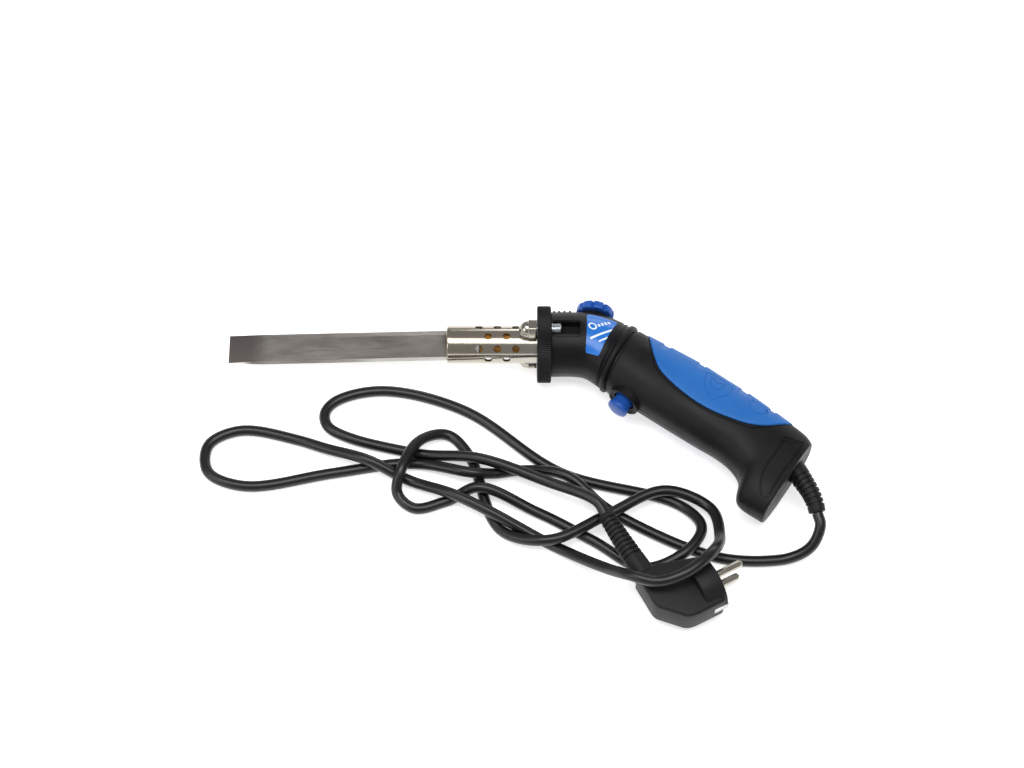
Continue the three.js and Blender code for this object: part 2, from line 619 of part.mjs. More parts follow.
makeBlade();
makeHolder();
makeBarrel();
makeHeater();
makeCollar();
for (const [side, sign] of Object.entries(sides)) makeStud(side, sign);
makeHousing();
makeScrews();
makeLabel();
makeDial();
makeButton();
makeElectronics();
makeRelief();

// ---- the tool on the table, which it touches with the collar's rim ----
const toolPlace = { x: 10.8, y: 48.4 };
tool.position.set(toolPlace.x, toolPlace.y, collar.radius);

// ---- the mains plug, in its own frame: X along its pins, Y towards the cord ----
const plugGroup = new THREE.Group();
plugGroup.position.set(plug.x, plug.y, plug.z);
plugGroup.rotation.z = THREE.MathUtils.degToRad(plug.turn);
lead.add(plugGroup);

function makePlug() {
  const r = plug.faceRadius;
  const outline = new THREE.Shape(
    [
      [-10, -r], [-10, 16], [-27, boot.y], [-43, boot.y], [-43, 0], [-41, -3], [-29, -16], [-24, -r],
    ].map(([x, y]) => new THREE.Vector2(x, y)),
  );
  const block = new THREE.ExtrudeGeometry(outline, { depth: plug.height, bevelEnabled: false });
  block.translate(0, 0, -plug.height / 2);
  let body = solid(block).add(solid(rod(V(-plug.faceDepth, 0), V(0, 0), r, 28)));
  for (const [i, sign] of [1, -1].entries()) {
    const z = (sign * pin.pitch) / 2;
    body = body.subtract(solid(rod(V(-pin.root, 0, z), V(1, 0, z), pin.radius + GAP, 16)));
    const straight = solid(rod(V(GAP - pin.root, 0, z), V(pin.length - 2, 0, z), pin.radius, 16));
    const tip = solid(rod(V(pin.length - 2.5, 0, z), V(pin.length, 0, z), pin.radius, 16, pin.radius * 0.55));
    add(plugGroup, `plug_pin_${i + 1}`, straight.add(tip), brass);

    const seat = [clip.length + 2 * GAP, 2 * (clip.thickness + GAP), clip.width + 2 * GAP];
    body = body.subtract(solid(box(V(-clip.length / 2, sign * r, 0), seat)));
    const place = V(-clip.length / 2, sign * (r - clip.thickness / 2), 0);
    add(plugGroup, `earth_clip_${i + 1}`, box(place, [clip.length, clip.thickness, clip.width]), zinc);
  }
  add(plugGroup, "plug_body", body, blackPlastic);
}

function makeBoot() {
  const from = V(boot.x, boot.y + 2 * GAP);
  const to = V(boot.tipX, boot.tipY, boot.tipZ);
  const points = [0, 0.33, 0.67, 1].map((share) => from.clone().lerp(to, share));
  const taper = (share) => THREE.MathUtils.lerp(boot.baseRadius, boot.tipRadius, share);
  const ribbed = (share) => taper(share) - (Math.round(share * 21) % 3 ? 0 : 0.8);
  add(plugGroup, "plug_boot", ribbedSleeve(points, 21, 12, ribbed), cordRubber);
}

makePlug();
makeBoot();

// ---- the cord, from the strain relief to the plug's boot ----
// Its route: out of the relief, left under the loops to the far end, back over itself to the plug's
// back, round the bight beside the plug, the small loop, the inner bight, the upper loop and home.
const route = [
  [187.35, -73.6, 21], [188.9, -81, 18.8], [183, -92, 10.4], [166, -97.5, 3.6], [124, -96, 3.6],
  [57, -63.5, 4.4], [29, -41.5, 11.6], [0, -34, 3.6], [-17, -38, 7.1], [-33, -39.5, 11.8],
  [-68, -29, 3.6], [-122, -36, 3.6], [-178, -45.5, 3.6], [-203, -35, 3.6], [-204, -15, 3.6],
  [-184, -4.5, 3.6], [-148, -11, 3.6], [-126, -19.5, 6], [-99, -30.5, 11.8], [-72, -42, 4.9],
  [-44, -55, 11.8], [-20, -67.5, 11.8], [18, -86.5, 3.6], [52, -110.5, 19.7], [67, -122, 33.7],
  [84, -127.5, 36.7], [101, -123, 40.2], [118, -108, 38.2], [125, -88, 19.2], [121, -64, 9.8],
  [92, -52.5, 11.8], [54, -70.5, 11.8], [18, -88, 12.2], [-14, -76, 3.6], [-33, -24, 3.6],
  [-48, -8, 4.1], [-66, -16, 10.9], [-77, -39, 14.6], [-79.5, -52, 6], [-68, -61.5, 3.6],
  [-47, -56, 3.6], [-27, -50, 11.6], [9, -63.5, 3.6], [47, -85, 3.6], [77, -103.5, 3.6],
  [103, -96, 10.4], [115, -78, 9.3], [102, -59, 3.6], [26, -36, 3.6], [-36, 10, 3.6], [-90, 25.5, 3.6],
  [-121, 18.5, 3.6], [-129, 9, 3.6], [-127, -1, 3.6], [-112, -10, 3.6], [-66, -22, 3.6],
  [-27, -29.5, 12.4], [17, -47.5, 14.2], [48, -64.5, 20.4], [53.3, -73.5, 19.5],
];
const CORD_STEPS = 80;
const onTable = ({ x, y, z }) => V(x, y, Math.max(z, cord.diameter / 2));
const laid = new THREE.CatmullRomCurve3(route.map((p) => V(...p))).getSpacedPoints(2 * CORD_STEPS).map(onTable);
add(lead, "cord", tube(laid, cord.diameter / 2, 8, CORD_STEPS), cordRubber);

const model = new THREE.Group();
model.add(tool, lead);
export default model;
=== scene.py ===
"""Hot-knife foam cutter on a table, with its mains cord and plug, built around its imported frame.

Sizes are in millimetres in the tool's own frame: X back along the nose from the collar's front face,
Y towards the dial, Z up from the split line between the two halves of the handle.
"""
import math

import bmesh
import bpy
from mathutils import Matrix, Vector


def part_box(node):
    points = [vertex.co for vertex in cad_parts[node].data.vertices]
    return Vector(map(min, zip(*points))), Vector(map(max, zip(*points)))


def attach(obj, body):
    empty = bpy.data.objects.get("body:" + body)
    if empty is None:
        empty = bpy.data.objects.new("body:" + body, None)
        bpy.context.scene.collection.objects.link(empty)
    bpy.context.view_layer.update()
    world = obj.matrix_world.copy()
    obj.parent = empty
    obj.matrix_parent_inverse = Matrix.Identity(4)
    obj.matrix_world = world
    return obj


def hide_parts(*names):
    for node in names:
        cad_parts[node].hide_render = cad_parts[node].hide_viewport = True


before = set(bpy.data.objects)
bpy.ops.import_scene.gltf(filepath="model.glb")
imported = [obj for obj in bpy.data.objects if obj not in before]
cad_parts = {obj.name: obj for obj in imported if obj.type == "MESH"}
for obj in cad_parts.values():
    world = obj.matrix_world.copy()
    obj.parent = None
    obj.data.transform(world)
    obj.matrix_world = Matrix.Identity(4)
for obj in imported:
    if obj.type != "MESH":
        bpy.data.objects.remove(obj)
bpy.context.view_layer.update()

# ---- the table and the studio ----
# A white opal table lit from below, under soft light from large panels, as goods on a shop's
# display table are lit.
# The camera stands in front of the table and looks steeply down on it.
MM = 0.001
collar_low, collar_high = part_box("collar")
ORIGIN = Vector((collar_low[0], (collar_low[1] + collar_high[1]) / 2, (collar_low[2] + collar_high[2]) / 2))


def place(x, y, z=0.0):
    """A point of the tool's own frame, in metres on the table."""
    return ORIGIN + Vector((x, y, z)) * MM


def linear(color):
    """An sRGB hex colour as linear RGBA."""
    channels = [int(color[i:i + 2], 16) / 255 for i in (1, 3, 5)]
    return [c / 12.92 if c <= 0.04045 else ((c + 0.055) / 1.055) ** 2.4 for c in channels] + [1.0]


def node(material, kind, inputs=None, **settings):
    """Adds a node with its settings, and sets or links its inputs."""
    made = material.node_tree.nodes.new(kind)
    for name, value in settings.items():
        setattr(made, name, value)
    for socket, value in (inputs or {}).items():
        if isinstance(value, bpy.types.NodeSocket):
            material.node_tree.links.new(value, made.inputs[socket])
        else:
            made.inputs[socket].default_value = value
    return made


def finish_of(name, **inputs):
    """A new material and its Principled shader; inputs are named as its sockets, _ for a space."""
    material = bpy.data.materials.new(name)
    material.use_nodes = True
    shader = material.node_tree.nodes["Principled BSDF"]
    for socket, value in inputs.items():
        shader.inputs[socket.replace("_", " ")].default_value = value
    return material, shader


def wire(material, source, shader, socket):
    material.node_tree.links.new(source, shader.inputs[socket])


def light(name, center, size, power, aim):
    data = bpy.data.lights.new(name, "AREA")
    data.shape = "RECTANGLE"
    data.size, data.size_y = size
    data.energy = power
    lamp = bpy.data.objects.new(name, data)
    lamp.location = center
    lamp.rotation_euler = (aim - Vector(center)).to_track_quat("-Z", "Y").to_euler()
    bpy.context.scene.collection.objects.link(lamp)


AIM = place(-16.5, -30.1)
DISTANCE, ELEVATION = 1.3, math.radians(60)
camera_data = bpy.data.cameras.new("camera")
camera_data.lens = 70
camera_data.sensor_width = 36
camera = bpy.data.objects.new("camera", camera_data)
camera.location = AIM + DISTANCE * Vector((0, -math.cos(ELEVATION), math.sin(ELEVATION)))
camera.rotation_euler = (math.pi / 2 - ELEVATION, 0, 0)
bpy.context.scene.collection.objects.link(camera)
bpy.context.scene.camera = camera
bpy.context.scene.view_settings.view_transform = "Standard"

light("panel_above", (-0.05, -0.15, 1.3), (1.4, 0.6), 12.5, AIM)
light("panel_left", (-1.1, -0.6, 0.8), (0.7, 0.7), 4.5, AIM)
light("panel_back", (0.5, 1.1, 0.45), (1.2, 0.35), 3.5, AIM)

world = bpy.data.worlds.new("studio")
world.use_nodes = True
world.node_tree.nodes["Background"].inputs["Color"].default_value = linear("#ffffff")
world.node_tree.nodes["Background"].inputs["Strength"].default_value = 0.36
bpy.context.scene.world = world

table_bm = bmesh.new()
bmesh.ops.create_grid(table_bm, x_segments=1, y_segments=1, size=4)
table_mesh = bpy.data.meshes.new("table")
table_bm.to_mesh(table_mesh)
table_bm.free()
table = bpy.data.objects.new("table", table_mesh)
table_paint, table_shader = finish_of("lit_opal_acrylic", Roughness=0.9)
table_shader.inputs["Base Color"].default_value = linear("#fbfbfb")
table_shader.inputs["Specular IOR Level"].default_value = 0.1
table_shader.inputs["Emission Color"].default_value = linear("#ffffff")
table_shader.inputs["Emission Strength"].default_value = 0.55
table_mesh.materials.append(table_paint)
bpy.context.scene.collection.objects.link(table)

# ---- mains cord ----
# Two-core flexible cord with a round black rubber sheath, 7.2 mm across, loosely folded on the table.
# It leaves the guard, runs left under its own loops, comes back over the plug and folds twice more.
CORD_DIAMETER = 7.2
CORD_ROUTE = [
    (187.35, -73.6, 21), (188.9, -81, 18.8), (183, -92, 10.4), (166, -97.5, 3.6), (124, -96, 3.6),
    (57, -63.5, 4.4), (29, -41.5, 11.6), (0, -34, 3.6), (-17, -38, 7.1), (-33, -39.5, 11.8),
    (-68, -29, 3.6), (-122, -36, 3.6), (-178, -45.5, 3.6), (-203, -35, 3.6), (-204, -15, 3.6),
    (-184, -4.5, 3.6), (-148, -11, 3.6), (-126, -19.5, 6), (-99, -30.5, 11.8), (-72, -42, 4.9),
    (-44, -55, 11.8), (-20, -67.5, 11.8), (18, -86.5, 3.6), (52, -110.5, 19.7), (67, -122, 33.7),
    (84, -127.5, 36.7), (101, -123, 40.2), (118, -108, 38.2), (125, -88, 19.2), (121, -64, 9.8),
    (92, -52.5, 11.8), (54, -70.5, 11.8), (18, -88, 12.2), (-14, -76, 3.6), (-33, -24, 3.6),
    (-48, -8, 4.1), (-66, -16, 10.9), (-77, -39, 14.6), (-79.5, -52, 6), (-68, -61.5, 3.6),
    (-47, -56, 3.6), (-27, -50, 11.6), (9, -63.5, 3.6), (47, -85, 3.6), (77, -103.5, 3.6),
    (103, -96, 10.4), (115, -78, 9.3), (102, -59, 3.6), (26, -36, 3.6), (-36, 10, 3.6), (-90, 25.5, 3.6),
    (-121, 18.5, 3.6), (-129, 9, 3.6), (-127, -1, 3.6), (-112, -10, 3.6), (-66, -22, 3.6),
    (-27, -29.5, 12.4), (17, -47.5, 14.2), (48, -64.5, 20.4), (53.3, -73.5, 19.5),
]


def smooth_route(points, steps, lowest=None):
    """Points along the centripetal curve through the given points, kept off the table."""
    ends = [points[0] * 2 - points[1]] + points + [points[-1] * 2 - points[-2]]
    result = []
    for p0, p1, p2, p3 in zip(ends, ends[1:], ends[2:], ends[3:]):
        a, b, c = ((q - p).length ** 0.5 for p, q in ((p0, p1), (p1, p2), (p2, p3)))
        out = ((p1 - p0) / a - (p2 - p0) / (a + b) + (p2 - p1) / b) * b
        into = ((p2 - p1) / b - (p3 - p1) / (b + c) + (p3 - p2) / c) * b
        for i in range(steps):
            t = i / steps
            result.append(
                p1 * (2 * t**3 - 3 * t**2 + 1) + out * (t**3 - 2 * t**2 + t)
                + p2 * (3 * t**2 - 2 * t**3) + into * (t**3 - t**2)
            )
    result.append(points[-1])
    if lowest is not None:
        result = [Vector((p.x, p.y, max(p.z, lowest))) for p in result]
    return result


rubber_sheath, rubber_shader = finish_of("extruded_black_rubber", Roughness=0.42)
rubber_where = node(rubber_sheath, "ShaderNodeTexCoord").outputs["Object"]
# Fine talc-dulled patches about 9 mm across, and a 0.5 mm pebble in the skin.
rubber_patches = node(rubber_sheath, "ShaderNodeTexNoise", {"Vector": rubber_where, "Scale": 110,
    "Detail": 4})
rubber_tone = node(rubber_sheath, "ShaderNodeMix", {
    0: rubber_patches.outputs["Fac"], 6: linear("#070608"), 7: linear("#110f12")}, data_type="RGBA")
wire(rubber_sheath, rubber_tone.outputs[2], rubber_shader, "Base Color")
rubber_rough = node(rubber_sheath, "ShaderNodeMapRange", {
    "Value": rubber_patches.outputs["Fac"], "To Min": 0.26, "To Max": 0.42})
wire(rubber_sheath, rubber_rough.outputs["Result"], rubber_shader, "Roughness")
rubber_pebble = node(rubber_sheath, "ShaderNodeTexNoise", {"Vector": rubber_where, "Scale": 1900,
    "Detail": 2})
rubber_bump = node(rubber_sheath, "ShaderNodeBump", {
    "Height": rubber_pebble.outputs["Fac"], "Strength": 0.25, "Distance": 0.0001})
wire(rubber_sheath, rubber_bump.outputs["Normal"], rubber_shader, "Normal")

CORD_STEPS = 7  # points between two points of the route
cord_path = smooth_route([Vector(p) * MM for p in CORD_ROUTE], CORD_STEPS, CORD_DIAMETER / 2 * MM)
cord_curve = bpy.data.curves.new("flex", "CURVE")
cord_curve.dimensions = "3D"
cord_curve.bevel_depth = CORD_DIAMETER / 2 * MM
cord_curve.bevel_resolution = 5
cord_curve.use_fill_caps = True
cord_curve.resolution_u = 2
cord_spline = cord_curve.splines.new("NURBS")
cord_spline.points.add(len(cord_path) - 1)
for point, p in zip(cord_spline.points, cord_path):
    point.co = (*p, 1)
cord_spline.order_u = 4
cord_spline.use_endpoint_u = True
cord_curve.materials.append(rubber_sheath)
flex = bpy.data.objects.new("flex", cord_curve)
bpy.context.scene.collection.objects.link(flex)
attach(flex, "body")
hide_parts("cord")

# ---- blade ----
# Flat steel bar, ground to a chisel point and chamfered along its back, and let into a round holder.
# It runs red hot, so the bare steel is stained brown and grey and is darkest on the ground point.
BLADE_WIDTH, BLADE_THICKNESS = 21.0, 4.6
BLADE_TIP, BLADE_GRIND, BLADE_ROOT = -203.0, 22.0, -50.0
BLADE_POINT = 0.6
BLADE_PIVOT = -49.0
BACK_CHAMFER, BACK_THICKNESS = 4.0, 1.8


def finished(name, bm, material, body, replaced=(), sharp=35):
    """Makes a piece of a bmesh in millimetres of the tool's frame, shades it, and hangs it on its body."""
    bmesh.ops.scale(bm, vec=(MM, MM, MM), verts=bm.verts)
    bmesh.ops.translate(bm, vec=ORIGIN, verts=bm.verts)
    mesh = bpy.data.meshes.new(name)
    bm.to_mesh(mesh)
    bm.free()
    mesh.shade_smooth()
    mesh.set_sharp_from_angle(angle=math.radians(sharp))
    mesh.materials.append(material)
    made = bpy.data.objects.new(name, mesh)
    bpy.context.scene.collection.objects.link(made)
    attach(made, body)
    if replaced:
        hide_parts(*replaced)
    return made


def bevelled(bm, width, segments=2, angle=30):
    """Rounds every edge sharper than an angle, as a deburred or moulded edge is."""
    edges = [e for e in bm.edges if len(e.link_faces) == 2 and e.calc_face_angle() > math.radians(angle)]
    bmesh.ops.bevel(
        bm, geom=edges, offset=width, offset_type="OFFSET", affect="EDGES", segments=segments, profile=0.5,
        material=-1, clamp_overlap=True,
    )


blade_bm = bmesh.new()
half_width, half_blade, half_back = BLADE_WIDTH / 2, BLADE_THICKNESS / 2, BACK_THICKNESS / 2
blade_section = [
    (-half_width, -half_blade), (-half_width, half_blade), (half_width - BACK_CHAMFER, half_blade),
    (half_width, half_back), (half_width, -half_back), (half_width - BACK_CHAMFER, -half_blade),
]
blade_ring = [blade_bm.verts.new((BLADE_TIP, y, z * BLADE_POINT / BLADE_THICKNESS)) for y,
    z in blade_section]
blade_face = blade_bm.faces.new(blade_ring)
for station in (BLADE_TIP + BLADE_GRIND, BLADE_ROOT):
    grown = bmesh.ops.extrude_face_region(blade_bm, geom=[blade_face])["geom"]
    blade_face = next(g for g in grown if isinstance(g, bmesh.types.BMFace))
    for vert, (y, z) in zip(sorted(blade_face.verts, key=lambda v: math.atan2(v.co.y, v.co.z)),
                            sorted(blade_section, key=lambda s: math.atan2(s[0], s[1] * 0.999))):
        vert.co = (station, vert.co.y, vert.co.z)
    if station == BLADE_TIP + BLADE_GRIND:
        for vert in blade_face.verts:
            vert.co.z *= BLADE_THICKNESS / BLADE_POINT
bmesh.ops.recalc_face_normals(blade_bm, faces=blade_bm.faces)
bevelled(blade_bm, 0.22, 2, 12)

blade_steel, blade_shader = finish_of("heat_stained_ground_steel", Metallic=1.0, Roughness=0.4)
blade_where = node(blade_steel, "ShaderNodeTexCoord").outputs["Object"]
# Stains drift along the bar in patches some 25 mm long.
blade_stretch = node(blade_steel, "ShaderNodeMapping", {"Vector": blade_where, "Scale": (38, 120, 120)})
blade_stains = node(blade_steel, "ShaderNodeTexNoise", {
    "Vector": blade_stretch.outputs["Vector"], "Scale": 1, "Detail": 5, "Roughness": 0.6})
blade_tone = node(blade_steel, "ShaderNodeValToRGB", {"Fac": blade_stains.outputs["Fac"]})
blade_tone.color_ramp.elements[0].position = 0.3
blade_tone.color_ramp.elements[0].color = linear("#86807b")
blade_tone.color_ramp.elements[1].position = 0.72
blade_tone.color_ramp.elements[1].color = linear("#a9a4a0")
# The ground point is darker, over its 22 mm.
blade_split = node(blade_steel, "ShaderNodeSeparateXYZ", {"Vector": blade_where})
blade_tip_share = node(blade_steel, "ShaderNodeMapRange", {
    "Value": blade_split.outputs["X"],
    "From Min": place(BLADE_TIP + BLADE_GRIND - 7, 0).x, "From Max": place(BLADE_TIP + BLADE_GRIND + 5,
        0).x,
    "To Min": 1.0, "To Max": 0.0})
blade_color = node(blade_steel, "ShaderNodeMix", {
    0: blade_tip_share.outputs["Result"], 6: blade_tone.outputs["Color"], 7: linear("#7a7470")}, data_type="RGBA")
# Painted reflection: the narrow lower side, which faces -Y, is mixed towards a pale grey as if it mirrored the
# white table.
blade_facing = node(blade_steel, "ShaderNodeSeparateXYZ", {
    "Vector": node(blade_steel, "ShaderNodeTexCoord").outputs["Normal"]})
blade_painted_reflection_mask = node(blade_steel, "ShaderNodeMapRange", {
    "Value": blade_facing.outputs["Y"], "From Min": -0.8, "From Max": -0.35, "To Min": 1.0, "To Max": 0.0})
blade_with_painted_reflection = node(blade_steel, "ShaderNodeMix", {
    0: blade_painted_reflection_mask.outputs["Result"], 6: blade_color.outputs[2], 7: linear("#d8d4cf")}, data_type="RGBA")
wire(blade_steel, blade_with_painted_reflection.outputs[2], blade_shader, "Base Color")
# Grinding scratches lie along the bar, drawn 0.35 mm apart so that they show.
blade_scratch_map = node(blade_steel, "ShaderNodeMapping", {"Vector": blade_where, "Scale": (60, 2800,
    2800)})
blade_scratches = node(blade_steel, "ShaderNodeTexNoise", {
    "Vector": blade_scratch_map.outputs["Vector"], "Scale": 1, "Detail": 3})
blade_rough = node(blade_steel, "ShaderNodeMapRange", {
    "Value": blade_scratches.outputs["Fac"], "From Min": 0.3, "From Max": 0.7, "To Min": 0.34, "To Max": 0.52})
wire(blade_steel, blade_rough.outputs["Result"], blade_shader, "Roughness")
blade_bump = node(blade_steel, "ShaderNodeBump", {
    "Height": blade_scratches.outputs["Fac"], "Strength": 0.2, "Distance": 0.00005})
wire(blade_steel, blade_bump.outputs["Normal"], blade_shader, "Normal")
BLADE_DROOP = math.radians(1.5)
bmesh.ops.rotate(blade_bm, cent=(BLADE_PIVOT, 0, 0), matrix=Matrix.Rotation(BLADE_DROOP, 3, "Z"),
    verts=blade_bm.verts)
finished("blade_bar", blade_bm, blade_steel, "body", ("blade",), 20)

holder_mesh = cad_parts["blade_holder"].data
holder_mesh.materials.clear()
holder_mesh.materials.append(blade_steel)

# ---- barrel tube ----
# Drawn steel tube, bright plated, with a rolled front lip and nine rows of drilled air holes.
# It shields the heater and seats in the collar's bore.
TUBE_RADIUS, TUBE_WALL = 12.4, 0.8
TUBE_FRONT, TUBE_SEAT = -59.5, 7.3
HOLE_RADIUS, HOLE_FIRST, HOLE_PITCH, HOLE_ROWS = 2.5, -38.2, 12.1, 9


def turned(profile, steps, closed=False):
    """Spins a profile of (x, radius) about the X axis."""
    bm = bmesh.new()
    verts = [bm.verts.new((x, r, 0)) for x, r in profile]
    edges = [bm.edges.new(pair) for pair in zip(verts, verts[1:])]
    if closed:
        edges.append(bm.edges.new((verts[-1], verts[0])))
    bmesh.ops.spin(
        bm, geom=verts + edges, cent=(0, 0, 0), axis=(1, 0,
            0), angle=2 * math.pi, steps=steps, use_merge=True,
    )
    bmesh.ops.remove_doubles(bm, verts=bm.verts, dist=1e-4)
    bmesh.ops.recalc_face_normals(bm, faces=bm.faces)
    return bm


def merge(bm, other):
    """Adds one shape to another."""
    mesh = bpy.data.meshes.new("shape")
    other.to_mesh(mesh)
    other.free()
    bm.from_mesh(mesh)
    bpy.data.meshes.remove(mesh)


def arc(center, radius, first, last, steps):
    """Points of an arc in (x, radius), in degrees."""
    angles = [math.radians(first + (last - first) * i / steps) for i in range(steps + 1)]
    return [(center[0] + radius * math.cos(a), center[1] + radius * math.sin(a)) for a in angles]


def cut(target, cutter_bm):
    """Cuts a tool given in millimetres out of a finished piece."""
    bmesh.ops.scale(cutter_bm, vec=(MM, MM, MM), verts=cutter_bm.verts)
    bmesh.ops.translate(cutter_bm, vec=ORIGIN, verts=cutter_bm.verts)
    mesh = bpy.data.meshes.new("cutter")
    cutter_bm.to_mesh(mesh)
    cutter_bm.free()
    cutter = bpy.data.objects.new("cutter", mesh)
    bpy.context.scene.collection.objects.link(cutter)
    modifier = target.modifiers.new("cut", "BOOLEAN")
    modifier.operation = "DIFFERENCE"
    modifier.solver = "EXACT"
    modifier.object = cutter
    result = bpy.data.meshes.new_from_object(target.evaluated_get(bpy.context.evaluated_depsgraph_get()))
    target.modifiers.clear()
    target.data = result
    bpy.data.objects.remove(cutter)


def drill(bm, start, end, radius, sides=32):
    """Adds a capped cylinder between two points."""
    along = end - start
    turn = along.to_track_quat("Z", "Y").to_matrix().to_4x4()
    bmesh.ops.create_cone(
        bm, cap_ends=True, segments=sides, radius1=radius, radius2=radius, depth=along.length,
        matrix=Matrix.Translation((start + end) / 2) @ turn,
    )


tube_bore = TUBE_RADIUS - TUBE_WALL
lip = arc((TUBE_FRONT + 1.1, TUBE_RADIUS - 1.1), 1.1, 90, 270, 8)
tube_length = TUBE_SEAT - (TUBE_FRONT + 1.1)
outer_rows = [(TUBE_SEAT - tube_length * i / 44, TUBE_RADIUS) for i in range(44)]
inner_rows = [(TUBE_FRONT + 2.2 + (tube_length - 1.1) * i / 44, tube_bore) for i in range(45)]
tube_bm = turned(outer_rows + lip + inner_rows, 120, closed=True)

chrome, chrome_shader = finish_of("bright_chrome_plate", Metallic=1.0, Roughness=0.14)
chrome_where = node(chrome, "ShaderNodeTexCoord").outputs["Object"]
chrome_split = node(chrome, "ShaderNodeSeparateXYZ", {"Vector": chrome_where})
# Heat has tinted the front of the tube straw, and it is clean by the collar.
chrome_heat = node(chrome, "ShaderNodeMapRange", {
    "Value": chrome_split.outputs["X"], "From Min": place(-45, 0).x, "From Max": place(0, 0).x})
chrome_tone = node(chrome, "ShaderNodeMix", {
    0: chrome_heat.outputs["Result"], 6: linear("#aca497"), 7: linear("#b4afa6")}, data_type="RGBA")
wire(chrome, chrome_tone.outputs[2], chrome_shader, "Base Color")
# Wiping marks run round the tube, about 0.6 mm apart.
chrome_map = node(chrome, "ShaderNodeMapping", {"Vector": chrome_where, "Scale": (1600, 90, 90)})
chrome_marks = node(chrome, "ShaderNodeTexNoise", {"Vector": chrome_map.outputs["Vector"], "Scale": 1,
    "Detail": 3})
chrome_rough = node(chrome, "ShaderNodeMapRange", {
    "Value": chrome_marks.outputs["Fac"], "To Min": 0.08, "To Max": 0.24})
wire(chrome, chrome_rough.outputs["Result"], chrome_shader, "Roughness")
tube = finished("shield_tube", tube_bm, chrome, "body", ("barrel_tube",))

holes = bmesh.new()
for row in range(HOLE_ROWS):
    turn = math.radians(15 + 360 / HOLE_ROWS * row)
    out = Vector((0, math.cos(turn), math.sin(turn)))
    for k in range(2 + row % 2):
        x = HOLE_FIRST + HOLE_PITCH * (k + (1 - row % 2) / 2)
        drill(holes, Vector((x, 0, 0)) + out * (tube_bore - 1.5), Vector((x, 0,
            0)) + out * (TUBE_RADIUS + 2),
              HOLE_RADIUS, 28)
cut(tube, holes)
tube.data.set_sharp_from_angle(angle=math.radians(35))

# ---- heater ----
# A fired ceramic former carries the winding and an amber mica wrap holds it off the tube.
# The wrap is what shows through the air holes.
mica, mica_shader = finish_of("amber_mica_sheet", Roughness=0.35, Coat_Weight=0.3)
mica_where = node(mica, "ShaderNodeTexCoord").outputs["Object"]
# Flakes about 4 mm across lie along the wrap.
mica_map = node(mica, "ShaderNodeMapping", {"Vector": mica_where, "Scale": (120, 260, 260)})
mica_flakes = node(mica, "ShaderNodeTexNoise", {"Vector": mica_map.outputs["Vector"], "Scale": 1,
    "Detail": 6})
mica_tone = node(mica, "ShaderNodeValToRGB", {"Fac": mica_flakes.outputs["Fac"]})
mica_tone.color_ramp.elements[0].position = 0.35
mica_tone.color_ramp.elements[0].color = linear("#8a5c22")
mica_tone.color_ramp.elements[1].position = 0.7
mica_tone.color_ramp.elements[1].color = linear("#d79b4a")
wire(mica, mica_tone.outputs["Color"], mica_shader, "Base Color")

ceramic, ceramic_shader = finish_of("fired_ceramic", Roughness=0.8)
ceramic_where = node(ceramic, "ShaderNodeTexCoord").outputs["Object"]
ceramic_specks = node(ceramic, "ShaderNodeTexNoise", {"Vector": ceramic_where, "Scale": 700, "Detail": 4})
ceramic_tone = node(ceramic, "ShaderNodeMix", {
    0: ceramic_specks.outputs["Fac"], 6: linear("#c6bb98"), 7: linear("#e6ddc2")}, data_type="RGBA")
wire(ceramic, ceramic_tone.outputs[2], ceramic_shader, "Base Color")


def dress(part, material):
    """Gives a carried-over node its finish."""
    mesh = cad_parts[part].data
    mesh.materials.clear()
    mesh.materials.append(material)


dress("heater_sleeve", mica)
dress("heater_core", ceramic)

# ---- collar ----
# Glass-filled black nylon ring with a finely knurled rim, pressed over the spigot of the handle.
# It carries two M8 studs for a cutting guide.
COLLAR_RADIUS, COLLAR_THICKNESS = 25.4, 9.2
RIM_ROUND, KNURL_DEPTH, KNURL_TEETH = 0.9, 0.28, 120

black_nylon, nylon_shader = finish_of("moulded_black_nylon", Roughness=0.45)
nylon_shader.inputs["Specular IOR Level"].default_value = 0.2
nylon_where = node(black_nylon, "ShaderNodeTexCoord").outputs["Object"]
# Handling leaves polished and dusty patches about 20 mm across.
nylon_patches = node(black_nylon, "ShaderNodeTexNoise", {"Vector": nylon_where, "Scale": 48, "Detail": 5})
nylon_tone = node(black_nylon, "ShaderNodeMix", {
    0: nylon_patches.outputs["Fac"], 6: linear("#0c0b0d"), 7: linear("#171518")}, data_type="RGBA")
wire(black_nylon, nylon_tone.outputs[2], nylon_shader, "Base Color")
nylon_rough = node(black_nylon, "ShaderNodeMapRange", {
    "Value": nylon_patches.outputs["Fac"], "From Min": 0.3, "From Max": 0.7, "To Min": 0.38, "To Max": 0.54})
wire(black_nylon, nylon_rough.outputs["Result"], nylon_shader, "Roughness")
# The mould is spark eroded, which leaves a grain of about 0.4 mm.
nylon_grain = node(black_nylon, "ShaderNodeTexNoise", {"Vector": nylon_where, "Scale": 2400, "Detail": 2})
nylon_bump = node(black_nylon, "ShaderNodeBump", {
    "Height": nylon_grain.outputs["Fac"], "Strength": 0.32, "Distance": 0.00012})
wire(black_nylon, nylon_bump.outputs["Normal"], nylon_shader, "Normal")

